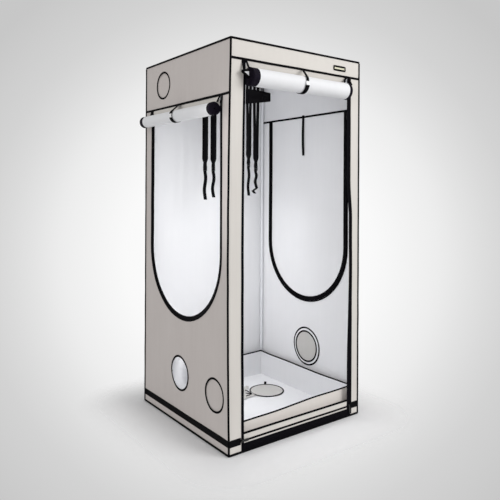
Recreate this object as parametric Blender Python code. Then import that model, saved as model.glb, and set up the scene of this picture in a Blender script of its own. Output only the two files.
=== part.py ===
"""Indoor grow tent, 80 by 80 by 180 cm: a steel frame inside a sewn cover, with the front door
and the left window rolled up. Metres, +Z up, +X right, +Y back, origin under the middle of the floor."""

import math

import bmesh
import bpy
from mathutils import Matrix, Vector

# Overall
tentWidth = 0.80
tentDepth = 0.80
tentHeight = 1.80
clothThickness = 0.0015
fitGap = 0.0003
cutOverrun = 0.010
pipingRadius = 0.0030
postPipingRadius = 0.0028
roundSides = 16
pipingSides = 8
postPipingTurn = math.radians(11)
creaseAngle = math.radians(35)
edgeAngle = math.radians(40)
sharpestMitreShare = 0.62

# Frame of tubes
tubeRadius = 0.008
tubeWall = 0.001
socketWall = 0.002
socketLength = 0.048
socketFloor = 0.013
hubBulge = 0.0012
swageLength = 0.045
swageDepth = 0.0007
swageHeight = 0.90
crossbarFromMiddle = 0.20
hookWall = 0.0020
hookWidth = 0.022
hookSpan = math.radians(250)
hookTurns = 12

# Cover
frontSeamDrop = 0.085
sideSeamDrop = 0.237
doorBorder = 0.070
sillHeight = 0.085
windowBorder = 0.072
windowStraightFoot = 0.850
windowArcSteps = 16
flapGap = 0.0015
zipWidth = 0.026
zipThickness = 0.0012
doorZipLap = 0.010
doorZipFoot = 0.025
doorZipCorner = 0.030
doorZipCornerSteps = 5
windowZipLap = 0.0135
bandFoot = 0.038
bandHeight = 0.031
bandThickness = 0.0012
bandZipGap = 0.004
bandRampLength = 0.012
bandCornerTurns = (-10, 20, 45, 70, 100)

# Round ports in the side walls: place along the wall, height and radius of each hole
upperPortPlace = 0.210
upperPortDrop = 0.120
upperPortRadius = 0.066
openPortPlace = 0.022
openPortHeight = 0.250
openPortRadius = 0.080
lowerPortPlace = -0.285
lowerPortHeight = 0.232
lowerPortRadius = 0.072
rightPortPlace = -0.023
rightPortHeight = 0.260
rightPortRadius = 0.078
portLap = 0.014
portCoverThickness = 0.0020
portRimThickness = 0.0034
portRimWidth = 0.006
portBeadWidth = 0.004
portSides = 32

# Floor tray
trayWall = 0.0020
trayHeight = 0.135
trayRim = 0.0040
trayRimHeight = 0.0055

# Rolled door and rolled window
rollCloth = 0.0024
rollPitch = 0.0046
rollCore = 0.0030
rollLapShare = 0.12
rollStepsPerTurn = 18
rollFallShares = (0.35, 0.70)
rollSeamDrop = 0.004
doorRollRadius = 0.0422
doorRollDrop = 0.0765
doorRollOut = 0.020
doorRollInsets = (0.025, 0.040)
windowRollRadius = 0.0300
windowRollDrop = 0.063
windowRollOut = 0.0345
windowRollStray = 0.022
windowSeamInset = 0.0015

# Straps round the rolls
rollStrapThickness = 0.0012
rollStrapWidth = 0.016
rollStrapNarrow = 0.011
rollStrapWideningShare = 0.16
rollStrapWideningSteps = 3
rollStrapGap = 0.0006
rollStrapTab = 0.018
rollStrapArcSteps = 24
doorStrapSeam = 0.010
doorStrapBuckle = -0.012
windowStrapSeam = 0.055
windowStrapBuckle = 0.010
rollBuckleWidth = 0.021
rollBuckleHeight = 0.018
rollBuckleFront = 0.0036
rollBuckleBack = 0.0024
rollBuckleBar = 0.0050
rollBuckleEdge = 0.0009
tieWidth = 0.010
tieLength = 0.230
tieThickness = 0.0014
tiePlace = 0.020
tieSway = 0.004
tieSteps = 8

# Hanging strap loops and their ladder-lock buckles
webbingWidth = 0.020
webbingThickness = 0.0014
buckleBar = 0.0024
bucklePitch = 0.010
buckleCheek = 0.003
buckleEdge = 0.0006
twistLength = 0.095
sewnTab = 0.016
convergeDrop = 0.1797
strandCurveShare = 1.4
spreadEaseShare = 0.5
swayTurns = 0.9
curlShares = ((1.0, 0.75), (0.25, 1.6), (-0.9, 1.35))
strapSteps = 7
strapArcStep = math.radians(16)
backLeftPlace = -0.150
backLeftTwist = math.radians(6)
backLeftTail = 0.148
backLeftSway = 0.004
backRightPlace = -0.097
backRightTwist = math.radians(12)
backRightTail = 0.136
backRightSway = 0.006
backLoopLength = 0.518
backSpread = 0.0095
frontLeftPlace = -0.154
frontLeftTwist = math.radians(84)
frontLeftLength = 0.513
frontLeftTail = 0.126
frontLeftSpread = 0.0100
frontLeftSway = 0.003
frontRightPlace = -0.110
frontRightTwist = math.radians(90)
frontRightLength = 0.527
frontRightTail = 0.090
frontRightSpread = 0.0125
frontRightSway = 0.004
frontRightCurl = 0.012
keeperDrop = 0.2247
keeperHeight = 0.056
keeperTipHeight = 0.036
keeperThickness = 0.0020
keeperClearance = 0.0012
keeperTipLength = 0.072
keeperTipShare = 0.62
keeperSteps = 6

# Zip sliders
sliderWidth = 0.0095
sliderFootShare = 0.7
sliderLength = 0.015
sliderDepth = 0.0048
sliderPullLength = 0.036
sliderPullWidth = 0.011
sliderPullThickness = 0.0014
sliderPullSteps = 6
doorSliderHeight = 0.055
leftPullSwing = math.radians(90)
rightPullSwing = math.radians(12)
windowSliderDrop = 0.014
windowSliderInset = 0.005

# Sleeve of the open port, drooping into the tray, and its lid
sleeveWall = 0.0020
sleeveSides = 22
sleeveMouthInset = 0.285
sleeveMouthY = 0.118
sleeveFlatHalfWidth = 0.100
sleeveFlatHalfHeight = 0.026
sleeveDroopShare = 0.62
sleeveFlattenShare = 0.85
sleeveFold = 0.0026
sleeveFolds = 7
sleeveSteps = 22
lidRadius = 0.098
lidThickness = 0.0030
lidRimThickness = 0.0046
lidRimWidth = 0.007
lidTabWidth = 0.014
lidTabHeight = 0.022
lidTabThickness = 0.0016
lidTabTurn = math.radians(57)

halfWidth = tentWidth / 2
halfDepth = tentDepth / 2
sleeveMouthX = halfWidth - sleeveMouthInset
doorHalfWidth = halfWidth - doorBorder
windowHalfWidth = halfDepth - windowBorder
frontSeamHeight = tentHeight - frontSeamDrop
sideSeamHeight = tentHeight - sideSeamDrop
doorRollHeight = frontSeamHeight - doorRollDrop
windowRollHeight = sideSeamHeight - windowRollDrop
upperPortHeight = tentHeight - upperPortDrop
panelInset = pipingRadius + fitGap
wallFoot = pipingRadius + pipingRadius + fitGap
socketRadius = tubeRadius + fitGap + socketWall
hubRadius = socketRadius + hubBulge
innerFace = clothThickness + fitGap
frameInset = innerFace + hubRadius
frameX = halfWidth - frameInset
frameY = halfDepth - frameInset
frameFoot = frameInset
frameTop = tentHeight - frameInset
keeperFoot = frameTop - keeperDrop
doorZipCentre = doorHalfWidth - doorZipLap + zipWidth / 2
windowZipCentre = windowHalfWidth - windowZipLap + zipWidth / 2
doorRollEnds = (doorRollInsets[0] - doorHalfWidth, doorHalfWidth - doorRollInsets[1])
windowRollEnds = (-windowHalfWidth, windowHalfWidth + windowRollStray)
windowSeamReach = windowZipCentre - zipWidth / 2 - windowSeamInset
upperPort = (upperPortPlace, upperPortHeight, upperPortRadius)
openPort = (openPortPlace, openPortHeight, openPortRadius)
lowerPort = (lowerPortPlace, lowerPortHeight, lowerPortRadius)
rightPort = (rightPortPlace, rightPortHeight, rightPortRadius)

colours = {
    "white_enamel": ((0.80, 0.80, 0.80), 0.35, 0.0),
    "connector_plastic": ((0.10, 0.10, 0.11), 0.5, 0.0),
    "cover_cloth": ((0.60, 0.57, 0.53), 0.75, 0.0),
    "lining_cloth": ((0.82, 0.83, 0.84), 0.6, 0.0),
    "black_webbing": ((0.012, 0.012, 0.013), 0.85, 0.0),
    "black_plastic": ((0.015, 0.015, 0.016), 0.4, 0.0),
    "white_plastic": ((0.85, 0.85, 0.85), 0.35, 0.0),
}


def clearScene():
    for obj in list(bpy.data.objects):
        bpy.data.objects.remove(obj, do_unlink=True)


def makeMaterials():
    made = {}
    for name, (colour, roughness, metallic) in colours.items():
        material = bpy.data.materials.new(name)
        material.use_nodes = True
        shader = material.node_tree.nodes["Principled BSDF"]
        shader.inputs["Base Color"].default_value = (*colour, 1.0)
        shader.inputs["Roughness"].default_value = roughness
        shader.inputs["Metallic"].default_value = metallic
        material.diffuse_color = (*colour, 1.0)
        made[name] = material
    return made


def place(name, mesh, material, at=(0, 0, 0), turn=None, smooth=False):
    """One named object with its own origin and turn."""
    if mesh.materials:
        mesh.materials.clear()
    mesh.materials.append(material)
    if smooth:
        mesh.shade_smooth()
        mesh.set_sharp_from_angle(angle=creaseAngle)
    obj = bpy.data.objects.new(name, mesh)
    bpy.context.scene.collection.objects.link(obj)
    if turn is not None:
        obj.matrix_world = Matrix.Translation(at) @ turn.to_4x4()
    else:
        obj.location = at
    return obj


def toMesh(name, bm):
    bmesh.ops.recalc_face_normals(bm, faces=bm.faces)
    mesh = bpy.data.meshes.new(name)
    bm.to_mesh(mesh)
    bm.free()
    return mesh


def loft(bm, rings, closed=False):
    """Faces between rings of as many points each, with the two ends capped unless the row is closed."""
    rows = [[bm.verts.new(point) for point in ring] for ring in rings]
    pairs = list(zip(rows, rows[1:] + rows[:1])) if closed else list(zip(rows, rows[1:]))
    for first, second in pairs:
        for i in range(len(first)):
            j = (i + 1) % len(first)
            bm.faces.new((first[i], first[j], second[j], second[i]))
    if not closed:
        bm.faces.new(rows[0])
        bm.faces.new(reversed(rows[-1]))


def box(bm, low, high):
    corners = [(low[0], low[1]), (high[0], low[1]), (high[0], high[1]), (low[0], high[1])]
    loft(bm, [[Vector((x, y, z)) for x, y in corners] for z in (low[2], high[2])])


def boxMesh(name, low, high):
    bm = bmesh.new()
    box(bm, low, high)
    return toMesh(name, bm)


def circle(radius, sides=roundSides, phase=0.0):
    return [
        (radius * math.cos(phase + math.tau * i / sides), radius * math.sin(phase + math.tau * i / sides))
        for i in range(sides)
    ]


def turned(bm, profile, sides=roundSides, closed=False):
    """A round solid about Z from (radius, height) points. A closed profile makes a ring or a tube."""
    rings = [[Vector((x, y, height)) for x, y in circle(radius, sides)] for radius, height in profile]
    loft(bm, rings, closed)


def prism(bm, outline, toPoint, low, high):
    """An outline of (a, b) points drawn out between two depths, with toPoint(a, b, depth) placing it."""
    loft(bm, [[toPoint(a, b, depth) for a, b in outline] for depth in (low, high)])


def onSide(a, b, depth):
    return Vector((depth, a, b))


def onFront(a, b, depth):
    return Vector((a, depth, b))


def helper(name, mesh):
    """An object that only cuts or joins: hidden in renders."""
    obj = bpy.data.objects.new(name, mesh)
    bpy.context.scene.collection.objects.link(obj)
    obj.hide_render = True
    obj.display_type = "WIRE"
    return obj


def cut(obj, cutter, operation="DIFFERENCE"):
    modifier = obj.modifiers.new(cutter.name, "BOOLEAN")
    modifier.operation = operation
    modifier.object = cutter
    modifier.solver = "EXACT"


def rounded(obj, width, segments=1):
    modifier = obj.modifiers.new("soft edges", "BEVEL")
    modifier.width = width
    modifier.segments = segments
    modifier.limit_method = "ANGLE"
    modifier.angle_limit = edgeAngle


def baked(obj):
    """The mesh that the object's modifiers make, with the object and its helpers taken away."""
    bpy.context.view_layer.update()
    graph = bpy.context.evaluated_depsgraph_get()
    mesh = bpy.data.meshes.new_from_object(obj.evaluated_get(graph))
    helpers = [modifier.object for modifier in obj.modifiers if modifier.type == "BOOLEAN"]
    for gone in [obj, *helpers]:
        bpy.data.objects.remove(gone, do_unlink=True)
    return mesh


def bandSections(path, thickness, half, toPoint):
    """Rings for a flat band that follows (a, b) points. half is the half width, a number or one for each point."""
    rings = []
    for i, here in enumerate(path):
        before = path[max(i - 1, 0)]
        after = path[min(i + 1, len(path) - 1)]
        into = Vector((here[0] - before[0], here[1] - before[1]))
        out = Vector((after[0] - here[0], after[1] - here[1]))
        into = into.normalized() if into.length > 0 else out.normalized()
        out = out.normalized() if out.length > 0 else into
        along = (into + out).normalized()
        stretch = 1 / max(along.dot(into), sharpestMitreShare)
        side = Vector((-along.y, along.x)) * (thickness / 2 * stretch)
        width = half[i] if isinstance(half, list) else half
        rings.append(
            [
                toPoint(here[0] + side.x, here[1] + side.y, -width),
                toPoint(here[0] + side.x, here[1] + side.y, width),
                toPoint(here[0] - side.x, here[1] - side.y, width),
                toPoint(here[0] - side.x, here[1] - side.y, -width),
            ]
        )
    return rings


def beltPath(stops, step):
    """Points of a belt that runs past stops: (a, b) for a free point, or (a, b, radius, way) for a round
    that it follows, with way 1 for counterclockwise and -1 for clockwise."""
    rounds = [(Vector(stop[:2]), *(stop[2:] or (0.0, 1))) for stop in stops]
    headings = []
    for (first, radius, way), (second, nextRadius, nextWay) in zip(rounds, rounds[1:]):
        between = second - first
        lean = math.asin((radius * way - nextRadius * nextWay) / between.length)
        headings.append(math.atan2(between.y, between.x) + lean)
    points = []
    for i, (centre, radius, way) in enumerate(rounds):
        arriving = headings[max(i - 1, 0)]
        leaving = headings[min(i, len(headings) - 1)]
        if radius == 0:
            points.append(tuple(centre))
            continue
        sweep = way * ((way * (leaving - arriving)) % math.tau)
        steps = max(math.ceil(abs(sweep) / step), 1)
        for j in range(steps + 1):
            angle = arriving + sweep * j / steps - way * math.radians(90)
            points.append((centre.x + radius * math.cos(angle), centre.y + radius * math.sin(angle)))
    return points


def mixed(first, last, share):
    return first + (last - first) * share


def smoothShare(value):
    value = min(max(value, 0.0), 1.0)
    return value * value * (3 - 2 * value)


def tubeMesh(name, length):
    """A length of steel tube about Z, from 0 up, open at both ends."""
    bm = bmesh.new()
    bore = tubeRadius - tubeWall
    turned(bm, [(tubeRadius, 0), (tubeRadius, length), (bore, length), (bore, 0)], closed=True)
    return toMesh(name, bm)


def postMesh():
    """An upright: the upper length's swaged neck plugs into the lower one, which shows as a waist in the wall."""
    foot = frameFoot + socketFloor + fitGap
    top = frameTop - socketFloor - fitGap
    waist = tubeRadius - swageDepth
    bore = tubeRadius - tubeWall
    neckTop = swageHeight + swageLength
    bm = bmesh.new()
    turned(
        bm,
        [
            (tubeRadius, foot),
            (tubeRadius, swageHeight),
            (waist, swageHeight + swageDepth),
            (waist, neckTop - swageDepth),
            (tubeRadius, neckTop),
            (tubeRadius, top),
            (bore, top),
            (bore, neckTop),
            (waist - tubeWall, neckTop - swageDepth),
            (waist - tubeWall, swageHeight + swageDepth),
            (bore, swageHeight),
            (bore, foot),
        ],
        closed=True,
    )
    return toMesh("post", bm)


def connectorMesh():
    """Three sockets meeting in a ball, opening towards +X, +Y and +Z."""
    bm = bmesh.new()
    bmesh.ops.create_uvsphere(bm, u_segments=roundSides, v_segments=roundSides // 2, radius=hubRadius)
    body = helper("connector", toMesh("connector", bm))
    turns = {
        "x": Matrix.Rotation(math.radians(90), 3, "Y"),
        "y": Matrix.Rotation(math.radians(-90), 3, "X"),
        "z": Matrix.Identity(3),
    }
    bore = tubeRadius + fitGap
    for axis, turn in turns.items():
        bm = bmesh.new()
        turned(bm, [(socketRadius, -hubBulge), (socketRadius, socketLength)])
        bm.transform(turn.to_4x4())
        cut(body, helper("socket_" + axis, toMesh("socket", bm)), "UNION")
    for axis, turn in turns.items():
        bm = bmesh.new()
        turned(bm, [(bore, socketFloor), (bore, socketLength + cutOverrun)])
        bm.transform(turn.to_4x4())
        cut(body, helper("bore_" + axis, toMesh("bore", bm)))
    return baked(body)


def buildFrame(materials):
    post = postMesh()
    connector = connectorMesh()
    flip = Matrix.Rotation(math.pi, 3, "X")
    corners = {
        "front_left": (-1, -1, 0, 1),
        "front_right": (1, -1, 1, 2),
        "back_right": (1, 1, 2, 3),
        "back_left": (-1, 1, 3, 0),
    }
    for corner, (sideX, sideY, footTurn, topTurn) in corners.items():
        at = (sideX * frameX, sideY * frameY, 0)
        place("post_" + corner, post, materials["white_enamel"], at, smooth=True)
        turn = Matrix.Rotation(math.radians(90) * footTurn, 3, "Z")
        at = (sideX * frameX, sideY * frameY, frameFoot)
        place("connector_base_" + corner, connector, materials["connector_plastic"], at, turn, True)
        turn = Matrix.Rotation(math.radians(90) * topTurn, 3, "Z") @ flip
        at = (sideX * frameX, sideY * frameY, frameTop)
        place("connector_top_" + corner, connector, materials["connector_plastic"], at, turn, True)
    stand = socketFloor + fitGap
    acrossMesh = tubeMesh("rail_across", frameX - stand + frameX - stand)
    alongMesh = tubeMesh("rail_along", frameY - stand + frameY - stand)
    alongX = Matrix.Rotation(math.radians(90), 3, "Y")
    alongY = Matrix.Rotation(math.radians(-90), 3, "X")
    for level, height in (("base", frameFoot), ("top", frameTop)):
        for side, sign in (("front", -1), ("back", 1)):
            at = (-frameX + stand, sign * frameY, height)
            place(f"{level}_rail_{side}", acrossMesh, materials["white_enamel"], at, alongX, True)
        for side, sign in (("left", -1), ("right", 1)):
            at = (sign * frameX, -frameY + stand, height)
            place(f"{level}_rail_{side}", alongMesh, materials["white_enamel"], at, alongY, True)


def crossbarMesh():
    """A bar along X whose ends are strips bent over the side rails, open below."""
    radius = tubeRadius + fitGap + hookWall / 2
    reach = frameX - radius
    bm = bmesh.new()
    rings = []
    for x in (-reach, reach):
        rings.append([Vector((x, y, z)) for y, z in circle(tubeRadius)])
    loft(bm, rings)
    body = helper("crossbar", toMesh("crossbar", bm))
    for sign in (-1, 1):
        start = math.radians(90) - hookSpan / 2
        path = []
        for i in range(hookTurns + 1):
            angle = start + hookSpan * i / hookTurns
            path.append((radius * math.cos(angle), radius * math.sin(angle)))
        bm = bmesh.new()
        rings = bandSections(
            path, hookWall, hookWidth / 2, lambda a, b, w, sign=sign: Vector((sign * frameX + a, w, b))
        )
        loft(bm, rings)
        cut(body, helper(f"hook_{sign}", toMesh("hook", bm)), "UNION")
    return baked(body)


def buildCrossbars(materials):
    mesh = crossbarMesh()
    for side, sign in (("front", -1), ("back", 1)):
        at = (0, sign * crossbarFromMiddle, frameTop)
        place("crossbar_" + side, mesh, materials["white_enamel"], at, smooth=True)


def windowOutline(half, top, foot):
    """A U: straight sides from top down to foot, closed by a half circle."""
    points = [(half, top)]
    for i in range(windowArcSteps + 1):
        angle = -math.pi * i / windowArcSteps
        points.append((half * math.cos(angle), foot + half * math.sin(angle)))
    points.append((-half, top))
    return points


def wallCutter(name, outline, toPoint, depth):
    bm = bmesh.new()
    prism(bm, outline, toPoint, depth - cutOverrun, depth + cutOverrun)
    return helper(name, toMesh(name, bm))


def portOutline(port):
    place, height, radius = port
    return [(place + a, height + b) for a, b in circle(radius, portSides)]


def buildCover(materials):
    cloth = materials["cover_cloth"]
    x = halfWidth - panelInset
    y = halfDepth - panelInset
    top = tentHeight - panelInset
    left = place(
        "left_wall",
        boxMesh("left_wall", (-halfWidth, -y, wallFoot), (-halfWidth + clothThickness, y, top)),
        cloth,
    )
    right = place(
        "right_wall",
        boxMesh("right_wall", (halfWidth - clothThickness, -y, wallFoot), (halfWidth, y, top)),
        cloth,
    )
    place("back_wall", boxMesh("back_wall", (-x, halfDepth - clothThickness, wallFoot), (x, halfDepth, top)), cloth)
    front = place(
        "front_wall",
        boxMesh("front_wall", (-x, -halfDepth, wallFoot), (x, -halfDepth + clothThickness, top)),
        cloth,
    )
    place("roof", boxMesh("roof", (-x, -y, tentHeight - clothThickness), (x, y, tentHeight)), cloth)
    place("floor_panel", boxMesh("floor_panel", (-x, -y, 0), (x, y, clothThickness)), cloth)
    window = windowOutline(windowHalfWidth, sideSeamHeight, windowStraightFoot)
    cut(left, wallCutter("left_window", window, onSide, -halfWidth))
    cut(right, wallCutter("right_window", window, onSide, halfWidth))
    for name, port in (("upper_port", upperPort), ("open_port", openPort), ("lower_port", lowerPort)):
        cut(left, wallCutter(name, portOutline(port), onSide, -halfWidth))
    cut(right, wallCutter("right_port", portOutline(rightPort), onSide, halfWidth))
    door = [
        (doorHalfWidth, frontSeamHeight),
        (doorHalfWidth, sillHeight),
        (-doorHalfWidth, sillHeight),
        (-doorHalfWidth, frontSeamHeight),
    ]
    cut(front, wallCutter("doorway", door, onFront, -halfDepth))
    flap = windowOutline(windowHalfWidth - flapGap, sideSeamHeight - flapGap, windowStraightFoot)
    bm = bmesh.new()
    prism(bm, flap, onSide, halfWidth - clothThickness, halfWidth)
    mesh = toMesh("right_window_flap", bm)
    hinge = Vector((halfWidth, 0, sideSeamHeight))
    mesh.transform(Matrix.Translation(-hinge))
    place("right_window_flap", mesh, cloth, hinge)


def loopOfCord(bm, halfX, halfY, height, radius):
    """A square loop of round cord lying level, mitred at its corners."""
    rings = []
    for signX, signY in ((-1, -1), (1, -1), (1, 1), (-1, 1)):
        ring = []
        for out, up in circle(radius, pipingSides, math.pi / pipingSides):
            ring.append(Vector((signX * (halfX + out), signY * (halfY + out), height + up)))
        rings.append(ring)
    loft(bm, rings, closed=True)


def buildPiping(materials):
    """One run of piping along the twelve edges."""
    bm = bmesh.new()
    loopOfCord(bm, halfWidth, halfDepth, tentHeight, pipingRadius)
    obj = place("edge_piping", toMesh("edge_piping", bm), materials["black_webbing"])
    bm = bmesh.new()
    loopOfCord(bm, halfWidth, halfDepth, pipingRadius, pipingRadius)
    cut(obj, helper("base_loop", toMesh("base_loop", bm)), "UNION")
    for signX in (-1, 1):
        for signY in (-1, 1):
            bm = bmesh.new()
            turned(bm, [(postPipingRadius, pipingRadius), (postPipingRadius, tentHeight)], pipingSides)
            corner = Matrix.Translation((signX * halfWidth, signY * halfDepth, 0))
            bm.transform(corner @ Matrix.Rotation(postPipingTurn, 4, "Z"))
            cut(obj, helper(f"edge_{signX}_{signY}", toMesh("edge", bm)), "UNION")


def buildBand(materials):
    """Webbing round the base, over the corner piping, open across the doorway."""
    out = fitGap + bandThickness / 2
    bulge = pipingRadius + fitGap + bandThickness / 2
    end = doorZipCentre + zipWidth / 2 + bandZipGap
    path = [(-end, -halfDepth - out)]
    corners = ((-1, -1, 270), (-1, 1, 180), (1, 1, 90), (1, -1, 0))
    for signX, signY, start in corners:
        middle = Vector((signX * halfWidth, signY * halfDepth))
        away = [Vector((math.cos(math.radians(a)), math.sin(math.radians(a)))) for a in (start, start - 90)]
        path.append(tuple(middle + away[0] * out - away[1] * bandRampLength))
        for turn in bandCornerTurns:
            angle = math.radians(start - turn)
            path.append((middle.x + bulge * math.cos(angle), middle.y + bulge * math.sin(angle)))
        path.append(tuple(middle + away[1] * out - away[0] * bandRampLength))
    path.append((end, -halfDepth - out))
    bm = bmesh.new()
    middle = bandFoot + bandHeight / 2
    rings = bandSections(path, bandThickness, bandHeight / 2, lambda a, b, w: Vector((a, b, middle + w)))
    loft(bm, rings)
    place("base_band", toMesh("base_band", bm), materials["black_webbing"])


def buildTray(materials):
    """An open tray inside the base rails: one sheet folded up at the sides, with a bound rim."""
    halfX = frameX - socketRadius - fitGap
    halfY = frameY - socketRadius - fitGap
    foot = innerFace
    rimFoot = trayHeight - trayRimHeight
    profile = (
        (0, foot),
        (0, trayHeight),
        (trayRim, trayHeight),
        (trayRim, rimFoot),
        (trayWall, rimFoot),
        (trayWall, foot + trayWall),
    )
    bm = bmesh.new()
    rings = []
    for inset, height in profile:
        x = halfX - inset
        y = halfY - inset
        rings.append([Vector((a, b, height)) for a, b in ((-x, -y), (x, -y), (x, y), (-x, y))])
    loft(bm, rings)
    place("floor_tray", toMesh("floor_tray", bm), materials["lining_cloth"])


def uTape(centre, width, top, foot, corner, steps):
    """The outline of a U of tape: down one side, round the foot and back, outside then inside."""
    outline = []
    for half, radius, order in (
        (centre + width / 2, corner + width / 2, 1),
        (centre - width / 2, corner - width / 2, -1),
    ):
        run = [(half, top)]
        for side in (1, -1):
            for i in range(steps + 1):
                angle = math.radians(90) * i / steps
                a = math.cos(angle) if side > 0 else math.sin(angle)
                b = math.sin(angle) if side > 0 else math.cos(angle)
                run.append((side * (half - radius + radius * a), foot + corner - radius * b))
        run.append((-half, top))
        outline += run[::order]
    return outline


def buildZips(materials):
    black = materials["black_webbing"]
    front = -halfDepth - fitGap
    bm = bmesh.new()
    top = frontSeamHeight - fitGap
    outline = uTape(doorZipCentre, zipWidth, top, doorZipFoot, doorZipCorner, doorZipCornerSteps)
    prism(bm, outline, onFront, front - zipThickness, front)
    place("door_zip", toMesh("door_zip", bm), black)
    top = sideSeamHeight - fitGap
    foot = windowStraightFoot - windowZipCentre
    outline = uTape(windowZipCentre, zipWidth, top, foot, windowZipCentre, windowArcSteps // 2)
    bm = bmesh.new()
    prism(bm, outline, onSide, -halfWidth - fitGap - zipThickness, -halfWidth - fitGap)
    place("left_window_zip", toMesh("left_window_zip", bm), black)
    bm = bmesh.new()
    inner = halfWidth - clothThickness - fitGap
    prism(bm, outline, onSide, inner - zipThickness, inner)
    place("right_window_zip", toMesh("right_window_zip", bm), black)


def rollPath(seam, axis, radius):
    """Points (depth, up) of a rolled-up sheet: from its seam down behind the roll, under it, and round to its core."""
    centreLine = radius - rollCloth / 2
    toSeam = Vector(seam) - Vector(axis)
    start = math.atan2(toSeam.y, toSeam.x) - math.acos(centreLine / toSeam.length)
    steps = round((centreLine - rollCore) / rollPitch * rollStepsPerTurn)
    points = [tuple(seam)]
    for share in rollFallShares:
        points.append(
            (
                mixed(seam[0], axis[0] + centreLine * math.cos(start), share),
                mixed(seam[1], axis[1] + centreLine * math.sin(start), share),
            )
        )
    for i in range(steps + 1):
        angle = start - math.tau * i / rollStepsPerTurn
        reach = centreLine - rollPitch * max(i / rollStepsPerTurn - rollLapShare, 0.0)
        points.append((axis[0] + reach * math.cos(angle), axis[1] + reach * math.sin(angle)))
    return points


def leastGap(path, thickness):
    """The narrowest air between two turns of a winding, from the points of its middle line."""
    least = tentWidth
    apart = rollStepsPerTurn // 2
    for i, point in enumerate(path):
        here = Vector(point)
        for j in range(i + apart, len(path) - 1):
            first = Vector(path[j])
            step = Vector(path[j + 1]) - first
            share = min(max((here - first).dot(step) / step.length_squared, 0.0), 1.0)
            least = min(least, (first + step * share - here).length)
    return least - thickness


def rollMesh(name, seam, axis, radius, ends, seamEnds, toPoint):
    """A rolled sheet: seamEnds is how far it reaches each way at its seam, ends how far the roll does."""
    path = rollPath(seam, axis, radius)
    print(name, "least gap between turns", round(leastGap(path, rollCloth) * 1000, 2), "mm")
    sections = bandSections(path, rollCloth, 1.0, lambda a, b, w: Vector((a, b, w)))
    straight = 1 + len(rollFallShares)
    rings = []
    for i, section in enumerate(sections):
        low, high = seamEnds if i < straight else ends
        rings.append([toPoint(high if point.z > 0 else low, point.x, point.y) for point in section])
    bm = bmesh.new()
    loft(bm, rings)
    return toMesh(name, bm)


def onFrontFace(along, depth, up):
    return Vector((along, -halfDepth + depth, up))


def onLeftFace(along, depth, up):
    return Vector((-halfWidth + depth, along, up))


def buildRolls(materials):
    lining = materials["lining_cloth"]
    mesh = rollMesh(
        "front_door_roll",
        (clothThickness / 2, frontSeamHeight - rollSeamDrop),
        (-doorRollOut, doorRollHeight),
        doorRollRadius,
        doorRollEnds,
        doorRollEnds,
        onFrontFace,
    )
    place("front_door_roll", mesh, lining)
    mesh = rollMesh(
        "left_window_roll",
        (clothThickness / 2, sideSeamHeight - rollSeamDrop),
        (-windowRollOut, windowRollHeight),
        windowRollRadius,
        windowRollEnds,
        (-windowSeamReach, windowSeamReach),
        onLeftFace,
    )
    place("left_window_roll", mesh, lining)


def buildRollStrap(name, material, seamHeight, axis, radius, along, toPoint):
    """A strap sewn to the face above the seam, then round the front of the roll and up inside to the seam."""
    reach = radius + rollStrapGap + rollStrapThickness / 2
    outer = Vector((-fitGap - rollStrapThickness / 2, seamHeight))
    inner = Vector((clothThickness + rollCloth + rollStrapThickness / 2, seamHeight))
    toOuter = outer - Vector(axis)
    toInner = inner - Vector(axis)
    first = math.atan2(toOuter.y, toOuter.x) + math.acos(reach / toOuter.length)
    last = math.atan2(toInner.y, toInner.x) - math.acos(reach / toInner.length) + math.tau
    path = [(outer.x, outer.y + rollStrapTab), tuple(outer)]
    for i in range(rollStrapArcSteps + 1):
        angle = mixed(first, last, i / rollStrapArcSteps)
        path.append((axis[0] + reach * math.cos(angle), axis[1] + reach * math.sin(angle)))
    path += [tuple(inner), (inner.x, inner.y + rollStrapTab)]
    widths = []
    for i in range(len(path)):
        share = smoothShare((i - 2 - rollStrapArcSteps * rollStrapWideningShare) / rollStrapWideningSteps)
        widths.append(mixed(rollStrapNarrow, rollStrapWidth, share) / 2)
    rings = []
    sections = bandSections(path, rollStrapThickness, widths, lambda a, b, w: Vector((a, b, w)))
    for section, point in zip(sections, path):
        lean = smoothShare((seamHeight - point[1]) / (seamHeight - axis[1]))
        middle = mixed(along[0], along[1], lean)
        rings.append([toPoint(middle + corner.z, corner.x, corner.y) for corner in section])
    bm = bmesh.new()
    loft(bm, rings)
    place(name, toMesh(name, bm), material)


def buildRollBuckle(name, materials, at, turn):
    """A small moulded buckle on the strap: a front plate, two cheeks and a bar behind the strap."""
    width = rollBuckleWidth / 2
    height = rollBuckleHeight / 2
    back = rollBuckleBack
    mesh = boxMesh(name, (-width, -rollBuckleFront, -height), (width, back, height))
    obj = place(name, mesh, materials["white_plastic"], at, turn)
    rounded(obj, rollBuckleEdge, 2)
    slot = rollStrapThickness / 2 + rollStrapGap
    high = height + cutOverrun
    deep = back + cutOverrun
    bar = rollBuckleBar / 2
    outline = [(-slot, -high), (-slot, high), (deep, high), (deep, bar), (slot, bar), (slot, -bar), (deep, -bar)]
    outline.append((deep, -high))
    inner = rollStrapWidth / 2 + fitGap + fitGap
    bm = bmesh.new()
    prism(bm, outline, lambda a, b, w: Vector((w, a, b)), -inner, inner)
    cutter = helper(name + "_slot", toMesh(name + "_slot", bm))
    cutter.matrix_world = obj.matrix_world.copy()
    cut(obj, cutter)


def twistedPoint(twist):
    """Places (across, up, width) of a hanging strap: flat over the bar, then turned about the vertical."""

    def placed(across, up, width):
        angle = twist * smoothShare((-tubeRadius / 2 - up) / twistLength)
        x = width * math.cos(angle) + across * math.sin(angle)
        y = width * math.sin(angle) - across * math.cos(angle)
        return Vector((x, y, up))

    return placed


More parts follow.
